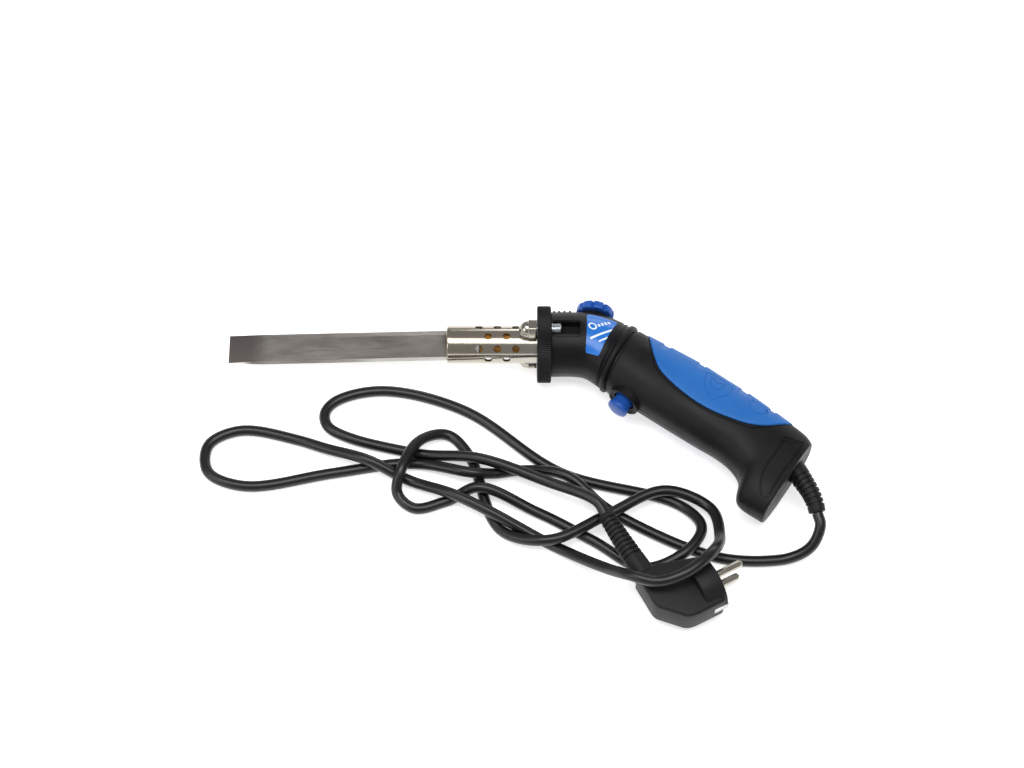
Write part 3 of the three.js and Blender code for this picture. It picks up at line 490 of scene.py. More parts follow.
collar_profile = (
    [(0, TUBE_RADIUS + 0.3)]
    + arc((RIM_ROUND, COLLAR_RADIUS - RIM_ROUND), RIM_ROUND, 180, 90, 4)
    + arc((COLLAR_THICKNESS - RIM_ROUND, COLLAR_RADIUS - RIM_ROUND), RIM_ROUND, 90, 0, 4)
    + [(COLLAR_THICKNESS, 12.3), (24.2, 12.3), (24.2, TUBE_RADIUS - 0.6), (7.6, TUBE_RADIUS - 0.6),
       (7.6, TUBE_RADIUS + 0.3)]
)
collar_bm = turned(collar_profile, 2 * KNURL_TEETH, closed=True)
for vert in collar_bm.verts:
    reach = math.hypot(vert.co.y, vert.co.z)
    if reach > COLLAR_RADIUS - RIM_ROUND / 2:
        tooth = round(math.atan2(vert.co.z, vert.co.y) / math.pi * KNURL_TEETH) % 2
        shrink = 1 - KNURL_DEPTH * tooth / reach
        vert.co.y *= shrink
        vert.co.z *= shrink
finished("nose_collar", collar_bm, black_nylon, "body", ("collar",), 18)

# ---- guide studs and dome nuts ----
# Zinc-plated M8 studs pass through the collar, and their threads end in open channels behind it.
# Bright nickel-plated dome nuts close their front ends, hexagon against the collar.
STUD_OFFSET, STUD_RADIUS, THREAD_PITCH, THREAD_DEPTH = 19.3, 3.9, 1.25, 0.55
STUD_REAR, STUD_FRONT = 15.5, -8.6
NUT_FLATS, NUT_HEX, NUT_LENGTH = 12.0, 5.6, 11.6

zinc, zinc_shader = finish_of("zinc_plated_steel", Metallic=1.0, Roughness=0.28)
zinc_where = node(zinc, "ShaderNodeTexCoord").outputs["Object"]
zinc_bloom = node(zinc, "ShaderNodeTexNoise", {"Vector": zinc_where, "Scale": 400, "Detail": 4})
zinc_tone = node(zinc, "ShaderNodeMix", {
    0: zinc_bloom.outputs["Fac"], 6: linear("#a9adb0"), 7: linear("#d3d6d8")}, data_type="RGBA")
wire(zinc, zinc_tone.outputs[2], zinc_shader, "Base Color")
zinc_rough = node(zinc, "ShaderNodeMapRange", {"Value": zinc_bloom.outputs["Fac"], "To Min": 0.2,
    "To Max": 0.4})
wire(zinc, zinc_rough.outputs["Result"], zinc_shader, "Roughness")

nickel, nickel_shader = finish_of("bright_nickel_plate", Metallic=1.0, Roughness=0.16)
nickel_where = node(nickel, "ShaderNodeTexCoord").outputs["Object"]
nickel_haze = node(nickel, "ShaderNodeTexNoise", {"Vector": nickel_where, "Scale": 300, "Detail": 4})
nickel_tone = node(nickel, "ShaderNodeMix", {
    0: nickel_haze.outputs["Fac"], 6: linear("#a39d92"), 7: linear("#bdb7ac")}, data_type="RGBA")
wire(nickel, nickel_tone.outputs[2], nickel_shader, "Base Color")
nickel_rough = node(nickel, "ShaderNodeMapRange", {
    "Value": nickel_haze.outputs["Fac"], "To Min": 0.1, "To Max": 0.24})
wire(nickel, nickel_rough.outputs["Result"], nickel_shader, "Roughness")

for side, sign in (("left", 1), ("right", -1)):
    offset = Vector((0, 0, sign * STUD_OFFSET))
    thread = [(STUD_FRONT, 0), (STUD_FRONT, STUD_RADIUS), (COLLAR_THICKNESS - 1, STUD_RADIUS)]
    turns = int((STUD_REAR - COLLAR_THICKNESS) / THREAD_PITCH)
    for k in range(turns):
        x = STUD_REAR - 0.8 - (turns - 1 - k) * THREAD_PITCH
        thread += [(x - THREAD_PITCH * 0.45, STUD_RADIUS - THREAD_DEPTH), (x - THREAD_PITCH * 0.12,
            STUD_RADIUS),
                   (x + THREAD_PITCH * 0.12, STUD_RADIUS)]
    thread += [(STUD_REAR, STUD_RADIUS - 0.7), (STUD_REAR, 0)]
    stud_bm = turned(thread, 40)
    bmesh.ops.translate(stud_bm, vec=offset, verts=stud_bm.verts)
    finished(f"stud_{side}", stud_bm, zinc, "body", (f"guide_stud_{side}",), 25)

    dome_radius = NUT_FLATS / 2 - 0.4
    front = -0.3 - NUT_LENGTH
    dome = [(-1.3, 0), (-1.3, dome_radius), (front + dome_radius, dome_radius)]
    dome += arc((front + dome_radius, 0), dome_radius, 90, 180, 12)[1:]
    nut_bm = turned(dome, 48)
    hexagon = bmesh.new()
    bmesh.ops.create_cone(
        hexagon, cap_ends=True, segments=6, radius1=NUT_FLATS / 2 / math.cos(math.pi / 6),
        radius2=NUT_FLATS / 2 / math.cos(math.pi / 6), depth=NUT_HEX,
        matrix=Matrix.Translation((-0.3 - NUT_HEX / 2, 0, 0)) @ Matrix.Rotation(math.pi / 2, 4, "Y"),
    )
    bevelled(hexagon, 0.55, 3)
    merge(nut_bm, hexagon)
    bmesh.ops.translate(nut_bm, vec=offset, verts=nut_bm.verts)
    finished(f"acorn_nut_{side}", nut_bm, nickel, "body", (f"dome_nut_{side}",), 30)

# ---- moulded body ----
# Two clamshell halves of black nylon, screwed together from the right-hand side.
# Each is laid onto sections of the handle: top edge, bottom edge, half thickness, roundness.
NOSE_RADIUS = 21.4
SECTIONS = [
    (9.6, NOSE_RADIUS, 9.6, -NOSE_RADIUS, NOSE_RADIUS, 2),
    (22, NOSE_RADIUS, 22, -NOSE_RADIUS, NOSE_RADIUS, 2),
    (37, 20.6, 30, -22.6, 21.2, 2),
    (51, 16.4, 36, -26.6, 20.8, 2.05),
    (64.5, 8.8, 41.5, -31, 20.6, 2.1),
    (77, 0.6, 54, -40, 20.3, 2.2),
    (92.8, -9.4, 70, -51.5, 20, 2.3),
    (108, -19.5, 86, -62.9, 20, 2.4),
    (123, -30.8, 101, -73.6, 19.6, 2.4),
    (138, -42, 114, -82.6, 19, 2.4),
    (151, -53, 123, -91.5, 18.2, 2.5),
    (163, -63.2, 127.4, -101.5, 17.4, 2.6),
    (172, -71.5, 126, -116, 16.6, 2.8),
    (175.5, -78, 141, -128.5, 15.5, 3),
]
LAST = len(SECTIONS) - 1
SEAM = 0.15
SHELL = 2.4
GRIP_FROM, GRIP_TO = 4.72, 11.15
# How far the soft grip reaches down the flank, as a share of the half width, from section to section.
GRIP_EDGE = [
    (4.72, 0.97), (5.0, 0.7), (5.38, 0.31), (5.83, -0.04), (6.45, -0.22), (7.2, -0.32),
    (7.98, -0.32), (8.86, -0.22), (9.68, -0.02), (10.43, 0.33), (11.01, 0.8), (11.15, 0.97),
]


def edge_point(column, station):
    """A point of the top or bottom edge line, on the curve through the sections."""
    i = min(int(station), LAST - 1)
    t = station - i
    near = [SECTIONS[min(max(k, 0), LAST)][column:column + 2] for k in (i - 1, i, i + 1, i + 2)]
    p0, p1, p2, p3 = (Vector((*p, 0)) for p in near)
    if i == 0:
        p0 = p1 * 2 - p2
    if i == LAST - 1:
        p3 = p2 * 2 - p1
    out, into = (p2 - p0) / 2, (p3 - p1) / 2
    return (p1 * (2 * t**3 - 3 * t**2 + 1) + out * (t**3 - 2 * t**2 + t)
            + p2 * (3 * t**2 - 2 * t**3) + into * (t**3 - t**2))


def section(station):
    """Middle, direction to the top edge, half width, half thickness and power of a section."""
    top, bottom = edge_point(0, station), edge_point(2, station)
    i = min(int(station), LAST - 1)
    t = station - i
    thick, power = (SECTIONS[i][k] * (1 - t) + SECTIONS[i + 1][k] * t for k in (4, 5))
    return (top + bottom) / 2, (top - bottom).normalized(), (top - bottom).length / 2, thick, 2 / power


def bend(value, power):
    return math.copysign(abs(value) ** power, value)


def skin(station, angle, offset=0.0, shrink=1.0):
    """The point of the skin at an angle from the top edge towards the left flank, in radians."""
    middle, up, width, thick, power = section(station)
    across = bend(math.cos(angle), power) * (width + offset) * shrink
    return middle + up * across + Vector((0, 0, bend(math.sin(angle), power) * (thick + offset) * shrink))


def run_per_radian(station, angle):
    _, _, width, thick, _ = section(station)
    return math.hypot(width * math.sin(angle), thick * math.cos(angle))


def grip_angle(station):
    """The angle from the top edge at which the grip ends."""
    station = min(max(station, GRIP_FROM), GRIP_TO)
    i = next(k for k in range(len(GRIP_EDGE) - 1) if station <= GRIP_EDGE[k + 1][0])
    near = [GRIP_EDGE[min(max(k, 0), len(GRIP_EDGE) - 1)] for k in (i - 1, i, i + 1, i + 2)]
    (s0, e0), (s1, e1), (s2, e2), (s3, e3) = near
    run = s2 - s1
    t = (station - s1) / run
    out, into = (e2 - e0) / (s2 - s0) * run, (e3 - e1) / (s3 - s1) * run
    share = (e1 * (2 * t**3 - 3 * t**2 + 1) + out * (t**3 - 2 * t**2 + t)
             + e2 * (3 * t**2 - 2 * t**3) + into * (t**3 - t**2))
    return math.acos(bend(min(share, 0.97), 1 / section(station)[4]))


# Rings round the neck, as (station, height): two soft grooves, a bead, and a deep dark groove.
NECK_RINGS = [
    (3.50, 0), (3.53, -0.4), (3.58, -0.55), (3.63, -0.4), (3.66, 0), (3.70, 0.1), (3.73, -0.4), (3.78,
        -0.55),
    (3.83, -0.4), (3.86, 0), (3.88, 0.3), (3.91, 0.75), (3.97, 1.15), (4.04, 1.25), (4.11, 1.1), (4.16,
        0.7),
    (4.19, 0.1), (4.205, -0.4), (4.215, -1.7), (4.30, -1.8), (4.32, -0.5), (4.35, -0.15), (4.40, 0),
]
RIB_STATIONS = (0.14, 0.42, 0.7, 0.98)
RIB_HALF, RIB_HEIGHT, RIB_REACH = 0.07, 0.8, math.radians(34)
CHANNEL_HALF, CHANNEL_FLOOR, CHANNEL_END = 4.7, 14.9, 1.48
CHANNEL_ANGLE = math.asin(CHANNEL_HALF / NOSE_RADIUS)
GROOVE = [(-0.5, -0.7), (0.1, -0.7), (0.5, -0.1), (0.9, 0), (1.5, 0), (1.75, -0.5), (2.15, -0.5), (2.4,
    0), (3.2, 0)]


def shell_rows():
    """(station, height, shrink) of each ring of the shell, from the collar to the middle of the butt."""
    rows = [(0.05 * i, 0.0, 1.0) for i in range(round(LAST / 0.05))]
    rows = [r for r in rows if not 3.48 < r[0] < 4.42]
    rows += [(s, h, 1.0) for s, h in NECK_RINGS]
    for rib in RIB_STATIONS:
        rows = [r for r in rows if abs(r[0] - rib) > RIB_HALF + 0.02]
        rows += [(rib + k * RIB_HALF, 0.0, 1.0) for k in (-1, -0.7, 0, 0.7, 1)]
    rows = [r for r in rows if not CHANNEL_END - 0.03 < r[0] < CHANNEL_END + 0.03 and r[0] < LAST - 0.06]
    rows += [(CHANNEL_END - 0.012, 0.0, 1.0), (CHANNEL_END + 0.012, 0.0, 1.0)]
    rows.sort()
    rows += [(LAST - 0.05, -0.05, 1), (LAST - 0.02, -0.35, 1), (LAST, -1.0, 1), (LAST, -1.0, 0.85)]
    return rows + [(LAST, -1.0, shrink) for shrink in (0.65, 0.45, 0.25, 0)]


def shell_columns(station):
    """(angle, height) of each point of a ring, from the top edge to the bottom edge."""
    edge = grip_angle(station)
    speed = run_per_radian(station, edge)
    fade = min(max((station - 4.5) / 0.25, 0), 1) * min(max((11.4 - station) / 0.2, 0), 1)
    columns = [(edge * i / 14 - 0.55 / speed * (i / 14), -0.7 * fade) for i in range(14)]
    columns += [(edge + d / speed, h * fade) for d, h in GROOVE]
    start = columns[-1][0]
    columns += [(start + (math.pi - start) * i / 64, 0.0) for i in range(1, 65)]
    if station < CHANNEL_END + 0.05:
        angles = [a for a, _ in columns]
        walls = [math.pi / 2 + k * CHANNEL_ANGLE + d for k in (-1, 1) for d in (-0.006, 0.006)]
        for wall in walls[:2]:
            k = min(range(1, len(angles) - 1), key=lambda i: abs(angles[i] - wall))
            k = k + 1 if wall == walls[1] and angles[k] <= walls[0] + 1e-9 else k
            angles[k] = wall
        for wall in walls[2:]:
            k = min(range(1, len(angles) - 1), key=lambda i: abs(angles[i] - wall))
            k = k + 1 if wall == walls[3] and angles[k] <= walls[2] + 1e-9 else k
            angles[k] = wall
        columns = [(a, h) for a, (_, h) in zip(angles, columns)]
    return columns


def shell_point(row, column):
    station, height, shrink = row
    angle, extra = column
    for rib in RIB_STATIONS:
        if angle < RIB_REACH and abs(station - rib) < RIB_HALF * 0.95:
            height += RIB_HEIGHT
    for bump in (4.62, 4.86, 5.1):  # finger bumps under the neck
        fall = ((station - bump) / 0.08) ** 2 + ((math.pi - angle) / 0.35) ** 2
        height += 1.0 * math.exp(-fall)
    point = skin(station, angle, height + extra * (1 if shrink == 1 else 0), shrink)
    if station < CHANNEL_END and abs(angle - math.pi / 2) < CHANNEL_ANGLE:
        point.z = min(point.z, CHANNEL_FLOOR)
    point.z = max(point.z, SEAM)
    return point


BUTTON_SEAT, BUTTON_OUT = Vector((55.8, -43.2, 0)), Vector((math.cos(math.radians(233)),
    math.sin(math.radians(233)), 0))
SCREW_SPOTS = [(1.15, -16.8), (4.35, 14), (5.75, -16), (8.4, -16), (12.1, -19)]
SCREW_HOLE, SCREW_FLOOR = 3.4, -8.2


def mapped(rows, point_of):
    """Lays a grid of quads over a surface: point_of gives the point of each row and column."""
    bm = bmesh.new()
    height, width = len(rows), len(rows[0])
    bmesh.ops.create_grid(bm, x_segments=width - 1, y_segments=height - 1, size=1)
    bm.verts.ensure_lookup_table()
    for vert in bm.verts:
        column = round((vert.co.x + 1) / 2 * (width - 1))
        row = round((vert.co.y + 1) / 2 * (height - 1))
        vert.co = point_of(row, column)
    bmesh.ops.remove_doubles(bm, verts=bm.verts, dist=1e-3)
    return bm


def lining_point(row, column):
    """The inner side of the wall, smooth behind the details of the skin."""
    station, _, shrink = row
    angle, _ = column
    point = skin(min(station, LAST - 0.18), angle, -SHELL, shrink)
    if station < CHANNEL_END + 0.12 and abs(angle - math.pi / 2) < CHANNEL_ANGLE + 0.12:
        point.z = min(point.z, CHANNEL_FLOOR - 2)
    point.z = max(point.z, SEAM)
    return point


body_rows = shell_rows()
body_points = []
for row in body_rows:
    columns = shell_columns(row[0])
    skin_points = [shell_point(row, column) for column in columns]
    lining = [lining_point(row, column) for column in reversed(columns)]
    body_points.append(skin_points + lining + skin_points[:1])
lining_front = body_points[0][len(body_points[0]) // 2:-1]
body_points.insert(0, lining_front[::-1] + lining_front + lining_front[-1:])

for side, sign in (("left", 1), ("right", -1)):
    shell = mapped(body_points, lambda r, c: Vector((1, 1, sign)) * body_points[r][c])
    bmesh.ops.dissolve_degenerate(shell, edges=shell.edges, dist=1e-3)
    bmesh.ops.recalc_face_normals(shell, faces=shell.faces)
    half = finished(f"shell_{side}", shell, black_nylon, "body", (f"housing_{side}",), 38)
    openings = bmesh.new()
    drill(openings, BUTTON_SEAT - BUTTON_OUT * 14, BUTTON_SEAT + BUTTON_OUT * 9, 10.3)
    dial_seat, dial_out = Vector((38.3, 20.9, 0)), Vector((0.1822, 0.9833, 0))
    drill(openings, dial_seat - dial_out * 12, dial_seat + dial_out * 6, 8.9)
    cord_out, cord_axis = Vector((163.5, -93, 0)), Vector((0.55, -0.835, 0))
    drill(openings, cord_out - cord_axis * 5, cord_out + cord_axis * 9, 7.7)
    if side == "right":
        for station, q in SCREW_SPOTS:
            middle, up, *_ = section(station)
            spot = middle + up * q
            drill(openings, spot + Vector((0, 0, -32)), spot + Vector((0, 0, SCREW_FLOOR)), SCREW_HOLE)
    cut(half, openings)
    half.data.set_sharp_from_angle(angle=math.radians(38))

# Bosses moulded inside the right half carry the screw heads.
boss_bm = bmesh.new()
for station, q in SCREW_SPOTS:
    middle, up, width, thick, _ = section(station)
    power = 2 / section(station)[4]
    spot = middle + up * q
    share = min((abs(q) + 4.4) / width, 1)
    depth = thick * (1 - share**power) ** (1 / power) - 0.6
    if depth < 9.5:
        continue
    tube_boss = turned([(SCREW_FLOOR, SCREW_HOLE), (-depth, SCREW_HOLE), (-depth, 4.4), (SCREW_FLOOR,
        4.4)], 32, True)
    bmesh.ops.rotate(tube_boss, matrix=Matrix.Rotation(-math.pi / 2, 3, "Y"), verts=tube_boss.verts)
    bmesh.ops.translate(tube_boss, vec=spot, verts=tube_boss.verts)
    merge(boss_bm, tube_boss)
finished("screw_bosses", boss_bm, black_nylon, "body", ())
for number in range(1, 6):
    dress(f"housing_screw_{number}", zinc)

# Lines moulded into the skin: the lip round each stud channel and the frame of the butt panel.


def spot_on(station, degrees):
    """Places millimetres along and around from a spot of the skin."""
    step = (section(min(station + 0.5, LAST))[0] - section(station - 0.5)[0]).length
    angle = math.radians(degrees)
    speed = run_per_radian(station, angle)
    return lambda along, around, height: skin(station + along / step, angle + around / speed, height)


def butt_panel(along, around, height):
    """Places a point of the butt panel, whose sides run across the sections at a slant."""
    return skin(along / 13.5, around / 24, height)


def rounded(corners, radius, steps=6):
    """A closed outline through the corners, each rounded off."""
    outline = []
    for before, corner, after in zip(corners[-1:] + corners[:-1], corners, corners[1:] + corners[:1]):
        start = corner + (before - corner).normalized() * radius
        end = corner + (after - corner).normalized() * radius
        for i in range(steps + 1):
            t = i / steps
            outline.append(start * (1 - t) ** 2 + corner * 2 * t * (1 - t) + end * t**2)
    return outline


def finely(outline, step=1.6):
    """Adds points to the long sides of a closed outline."""
    result = []
    for p, q in zip(outline, outline[1:] + outline[:1]):
        count = max(1, round((q - p).length / step))
        result += [p.lerp(q, i / count) for i in range(count)]
    return result


def moulding(place_on, outline, width, height, base=0.0, sign=1):
    """A thin rounded ridge along a closed outline on the skin."""
    outline = finely(outline)
    profile = [(-width / 2, -0.5), (-width / 2, 0), (-width / 4, height), (width / 4, height),
        (width / 2, 0),
               (width / 2, -0.5)]

    def point_of(row, column):
        here = outline[row % len(outline)]
        ahead, behind = outline[(row + 1) % len(outline)], outline[row % len(outline) - 1]
        along = (ahead - behind).normalized()
        across, lift = profile[column % len(profile)]
        x, y = here.x - along.y * across, here.y + along.x * across
        point = place_on(x, y, base + lift)
        return Vector((point.x, point.y, point.z * sign))

    bm = mapped([[0] * (len(profile) + 1)] * (len(outline) + 1), point_of)
    bmesh.ops.recalc_face_normals(bm, faces=bm.faces)
    return bm


channel_lip = [Vector(p) for p in ((-11.4, -6), (7.6, -6), (7.6, 6), (-11.4, 6))]
panel = [Vector((s * 13.5, math.radians(a) * 24)) for s, a in ((11.4, 70), (12.55, 48), (12.86, 128),
    (12.6, 133))]
panel_middle = sum(panel, Vector((0, 0))) / 4
for side, sign in (("left", 1), ("right", -1)):
    lines = bmesh.new()
    merge(lines, moulding(spot_on(0.95, 90), rounded(channel_lip, 2.5), 0.8, 0.45, 0, sign))
    merge(lines, moulding(butt_panel, rounded(panel, 2), 0.8, 0.4, 0, sign))
    merge(lines, moulding(butt_panel, rounded([p.lerp(panel_middle, 0.13) for p in panel], 1.6), 0.6,
        0.3, 0, sign))
    finished(f"moulded_lines_{side}", lines, black_nylon, "body", ())

# ---- soft grip ----
# Blue rubber over the back of the handle, moulded in two pieces that meet on its top.
# Shallow outlines are moulded into each flank.
GRIP_DEPTH, GRIP_PROUD = 1.2, 0.55
NOTCH_STATIONS = (5.6, 7.05, 8.8, 10.1)

grip_rubber, grip_shader = finish_of("soft_blue_rubber", Roughness=0.5)
grip_shader.inputs["Specular IOR Level"].default_value = 0.35
grip_where = node(grip_rubber, "ShaderNodeTexCoord").outputs["Object"]
grip_patches = node(grip_rubber, "ShaderNodeTexNoise", {"Vector": grip_where, "Scale": 55, "Detail": 5})
grip_tone = node(grip_rubber, "ShaderNodeMix", {
    0: grip_patches.outputs["Fac"], 6: linear("#155fae"), 7: linear("#1e6fbe")}, data_type="RGBA")
wire(grip_rubber, grip_tone.outputs[2], grip_shader, "Base Color")
grip_rough = node(grip_rubber, "ShaderNodeMapRange", {
    "Value": grip_patches.outputs["Fac"], "From Min": 0.3, "From Max": 0.7, "To Min": 0.44, "To Max": 0.6})
wire(grip_rubber, grip_rough.outputs["Result"], grip_shader, "Roughness")
grip_grain = node(grip_rubber, "ShaderNodeTexNoise", {"Vector": grip_where, "Scale": 2100, "Detail": 2})
grip_bump = node(grip_rubber, "ShaderNodeBump", {
    "Height": grip_grain.outputs["Fac"], "Strength": 0.3, "Distance": 0.0001})
wire(grip_rubber, grip_bump.outputs["Normal"], grip_shader, "Normal")

grip_rows = [GRIP_FROM + (GRIP_TO - GRIP_FROM) * i / 150 for i in range(151)]
for notch in NOTCH_STATIONS:
    grip_rows += [notch - 0.16, notch - 0.13, notch, notch + 0.13, notch + 0.16]
grip_rows = sorted(set(grip_rows))
# Distances in from the grip's edge, with the height of the skin over the shell at each.
GRIP_ROUND = [(1.6, 0), (1.1, -0.03), (0.7, -0.12), (0.35, -0.3), (0.1, -0.6), (0, -1.0)]


def grip_point(row, column):
    station = grip_rows[row]
    edge = grip_angle(station)
    speed = run_per_radian(station, edge)
    inner = max(edge - GRIP_ROUND[0][0] / speed, edge * 0.3)
    if column <= 30:
        angle, height = inner * column / 30, 0.0
    else:
        distance, height = GRIP_ROUND[column - 30]
        angle = edge - (edge - inner) * distance / GRIP_ROUND[0][0]
    end = min(station - GRIP_FROM, GRIP_TO - station) / 0.12
    height -= 1.0 * max(0, 1 - end) ** 2
    for notch in NOTCH_STATIONS:
        if abs(station - notch) < 0.15:
            height -= 0.8 * min(1, max(0, (math.radians(62) - angle) / math.radians(18)))
    point = skin(station, angle, GRIP_PROUD + height)
    point.z = max(point.z, SEAM)
    return point


# Outlines of the moulded marks, in millimetres along and around the flank.
shield = rounded([Vector(p) for p in ((-10, -7), (0, -9), (10.5, -8), (9.5, 2), (2, 9.5), (-7, 5))], 3)
leaf = rounded([Vector(p) for p in ((-5.5, -4), (0, -1.5), (5, -5), (3.5, 2), (0, 4.5), (-4, 2))], 1.4)
drop = rounded([Vector(p) for p in ((-6, -4.5), (1, -6), (7, -4.5), (5, 2), (0, 5), (-5, 2))], 2)
for side, sign in (("left", 1), ("right", -1)):
    pad = mapped([[0] * 36] * len(grip_rows), lambda r, c: Vector((1, 1, sign)) * grip_point(r, c))
    bmesh.ops.recalc_face_normals(pad, faces=pad.faces)
    widest = max(pad.faces, key=lambda f: sign * f.calc_center_median().z)
    if widest.normal.z * sign < 0:
        bmesh.ops.reverse_faces(pad, faces=pad.faces)
    bmesh.ops.solidify(pad, geom=pad.faces, thickness=GRIP_DEPTH)
    finished(f"soft_grip_{side}", pad, grip_rubber, "body", (f"grip_{side}",), 40)
    marks = bmesh.new()
    merge(marks, moulding(spot_on(7.87, 70), shield, 0.8, 0.3, GRIP_PROUD, sign))
    merge(marks, moulding(spot_on(7.87, 68), leaf, 0.7, 0.28, GRIP_PROUD, sign))
    merge(marks, moulding(spot_on(9.6, 62), drop, 0.8, 0.3, GRIP_PROUD, sign))
    finished(f"grip_marks_{side}", marks, grip_rubber, "body", ())

# ---- label ----
# Printed polyester film stuck on the left flank of the nose, bright blue with plain white marks.
# It wraps the skin and is a third of a millimetre thick.
LABEL_CORNERS = ((1.76, 53), (3.39, 52), (3.13, 127), (2.02, 133))
LABEL_CORNER, LABEL_ROWS, LABEL_COLUMNS = 2.6, 48, 36

film, film_shader = finish_of("printed_polyester_film", Roughness=0.22)
film_where = node(film, "ShaderNodeUVMap", uv_map="film").outputs["UV"]
film_print = node(film, "ShaderNodeMapping", {"Vector": film_where, "Location": (0, 0, 0)})


def bar(center, turn, half_length, half_width):
    """A mask of one printed bar: 1 on the bar."""
    spin = Matrix.Rotation(-turn, 2) @ Vector(center)
    mapping = node(film, "ShaderNodeMapping", {
        "Vector": film_print.outputs["Vector"], "Location": (-spin.x, -spin.y, 0), "Rotation": (0, 0,
            -turn)})
    split = node(film, "ShaderNodeSeparateXYZ", {"Vector": mapping.outputs["Vector"]})
    along = node(film, "ShaderNodeMath", {0: split.outputs["X"], 1: 0.0, 2: half_length},
        operation="COMPARE")
    across = node(film, "ShaderNodeMath", {0: split.outputs["Y"], 1: 0.0, 2: half_width},
        operation="COMPARE")
    return node(film, "ShaderNodeMath", {0: along.outputs["Value"], 1: across.outputs["Value"]},
        operation="MULTIPLY")


# A ring, a row of short bars beside it, and long bars beneath, in millimetres on the film.
ring_distance = node(film, "ShaderNodeVectorMath", {
    0: film_print.outputs["Vector"], 1: (6.6, 18.5, 0)}, operation="DISTANCE")
ring_mask = node(film, "ShaderNodeMath", {0: ring_distance.outputs["Value"], 1: 2.2, 2: 0.5},
    operation="COMPARE")
film_masks = [ring_mask] + [
    bar((10.6 + 2.1 * k, 20.4 + 1.5 * k), math.radians(35), 0.75, 1.0) for k in range(4)
] + [bar((12.5, 14.5), math.radians(36), 9.2, 0.65), bar((14.5, 11.3), math.radians(36), 5.2, 0.5)]
film_total = film_masks[0]
for mask in film_masks[1:]:
    film_total = node(film, "ShaderNodeMath", {
        0: film_total.outputs["Value"], 1: mask.outputs["Value"]}, operation="MAXIMUM")
film_fade = node(film, "ShaderNodeTexNoise", {"Vector": film_print.outputs["Vector"], "Scale": 0.12,
    "Detail": 3})
film_blue = node(film, "ShaderNodeMix", {
    0: film_fade.outputs["Fac"], 6: linear("#1568c2"), 7: linear("#2079d4")}, data_type="RGBA")
film_color = node(film, "ShaderNodeMix", {
    0: film_total.outputs["Value"], 6: film_blue.outputs[2], 7: linear("#e8eff7")}, data_type="RGBA")
wire(film, film_color.outputs[2], film_shader, "Base Color")
film_rough = node(film, "ShaderNodeMapRange", {"Value": film_fade.outputs["Fac"], "To Min": 0.18,
    "To Max": 0.34})
wire(film, film_rough.outputs["Result"], film_shader, "Roughness")


def label_place(u, v):
    """Station, angle and rough millimetres of a spot of the film; u runs back and v runs down."""
    (s0, a0), (s1, a1), (s2, a2), (s3, a3) = LABEL_CORNERS
    inset_v = LABEL_CORNER / 28 - math.sqrt(max(0, (LABEL_CORNER / 28) ** 2 - max(0,
        LABEL_CORNER / 28 - min(v, 1 - v)) ** 2))
    u = inset_v + (1 - 2 * inset_v) * u
    front, back = s0 + (s3 - s0) * v, s1 + (s2 - s1) * v
    upper, lower = a0 + (a1 - a0) * u, a3 + (a2 - a3) * u
    return front + (back - front) * u, math.radians(upper + (lower - upper) * v), u


def label_row(i):
    return 0.5 - 0.5 * math.cos(math.pi * i / (LABEL_ROWS - 1))


def label_point(row, column):
    station, angle, _ = label_place(column / (LABEL_COLUMNS - 1), label_row(row))
    return skin(station, angle, 0.45)


label_bm = mapped([[0] * LABEL_COLUMNS] * LABEL_ROWS, label_point)
label_uv = label_bm.loops.layers.uv.new("film")
for face in label_bm.faces:
    for loop in face.loops:
        p = loop.vert.co
        start = skin(1.76, math.radians(133), 0.45)
        run, rise = (p - start).x, (p - start).y
        loop[label_uv].uv = (run * 0.95, rise + 0.25 * run)
bmesh.ops.recalc_face_normals(label_bm, faces=label_bm.faces)
if sum(f.normal.z for f in label_bm.faces) < 0:
    bmesh.ops.reverse_faces(label_bm, faces=label_bm.faces)
bmesh.ops.solidify(label_bm, geom=label_bm.faces, thickness=0.35)
finished("label_film", label_bm, film, "body", ("label",), 50)

# ---- heat dial ----
# Blue nylon knob with nine rounded lobes, pushed on the shaft that leans out of the nose.
# A raised seat moulded on the housing leaves a narrow gap beneath it.
DIAL_SEAT = Vector((38.3, 20.9, 0))
DIAL_TILT = math.radians(10.5)
DIAL_RADIUS, DIAL_HEIGHT, DIAL_LIFT, DIAL_LOBES = 12.6, 5.8, 0.5, 9

blue_nylon, blue_shader = finish_of("glossy_blue_nylon", Roughness=0.3)
blue_shader.inputs["Specular IOR Level"].default_value = 0.4
blue_where = node(blue_nylon, "ShaderNodeTexCoord").outputs["Object"]
blue_patches = node(blue_nylon, "ShaderNodeTexNoise", {"Vector": blue_where, "Scale": 90, "Detail": 4})
blue_tone = node(blue_nylon, "ShaderNodeMix", {
    0: blue_patches.outputs["Fac"], 6: linear("#194a9c"), 7: linear("#235cb6")}, data_type="RGBA")
wire(blue_nylon, blue_tone.outputs[2], blue_shader, "Base Color")
blue_rough = node(blue_nylon, "ShaderNodeMapRange", {
    "Value": blue_patches.outputs["Fac"], "To Min": 0.26, "To Max": 0.44})
wire(blue_nylon, blue_rough.outputs["Result"], blue_shader, "Roughness")


def stood(bm, seat, axis):
    """Turns a shape made along X to stand on a seat."""
    turn = Vector((1, 0, 0)).rotation_difference(axis).to_matrix()
    bmesh.ops.rotate(bm, matrix=turn, verts=bm.verts)
    bmesh.ops.translate(bm, vec=seat, verts=bm.verts)
    return bm


DIAL_AXIS = Vector((math.sin(DIAL_TILT), math.cos(DIAL_TILT), 0))
seat_profile = [(-4.7, 4.0), (0, 4.0), (0, 9.0), (-0.25, 9.45), (-0.8, 9.6), (-4.7, 9.6)]
finished("dial_seat", stood(turned(seat_profile, 72, True), DIAL_SEAT, DIAL_AXIS), black_nylon, "body", ())

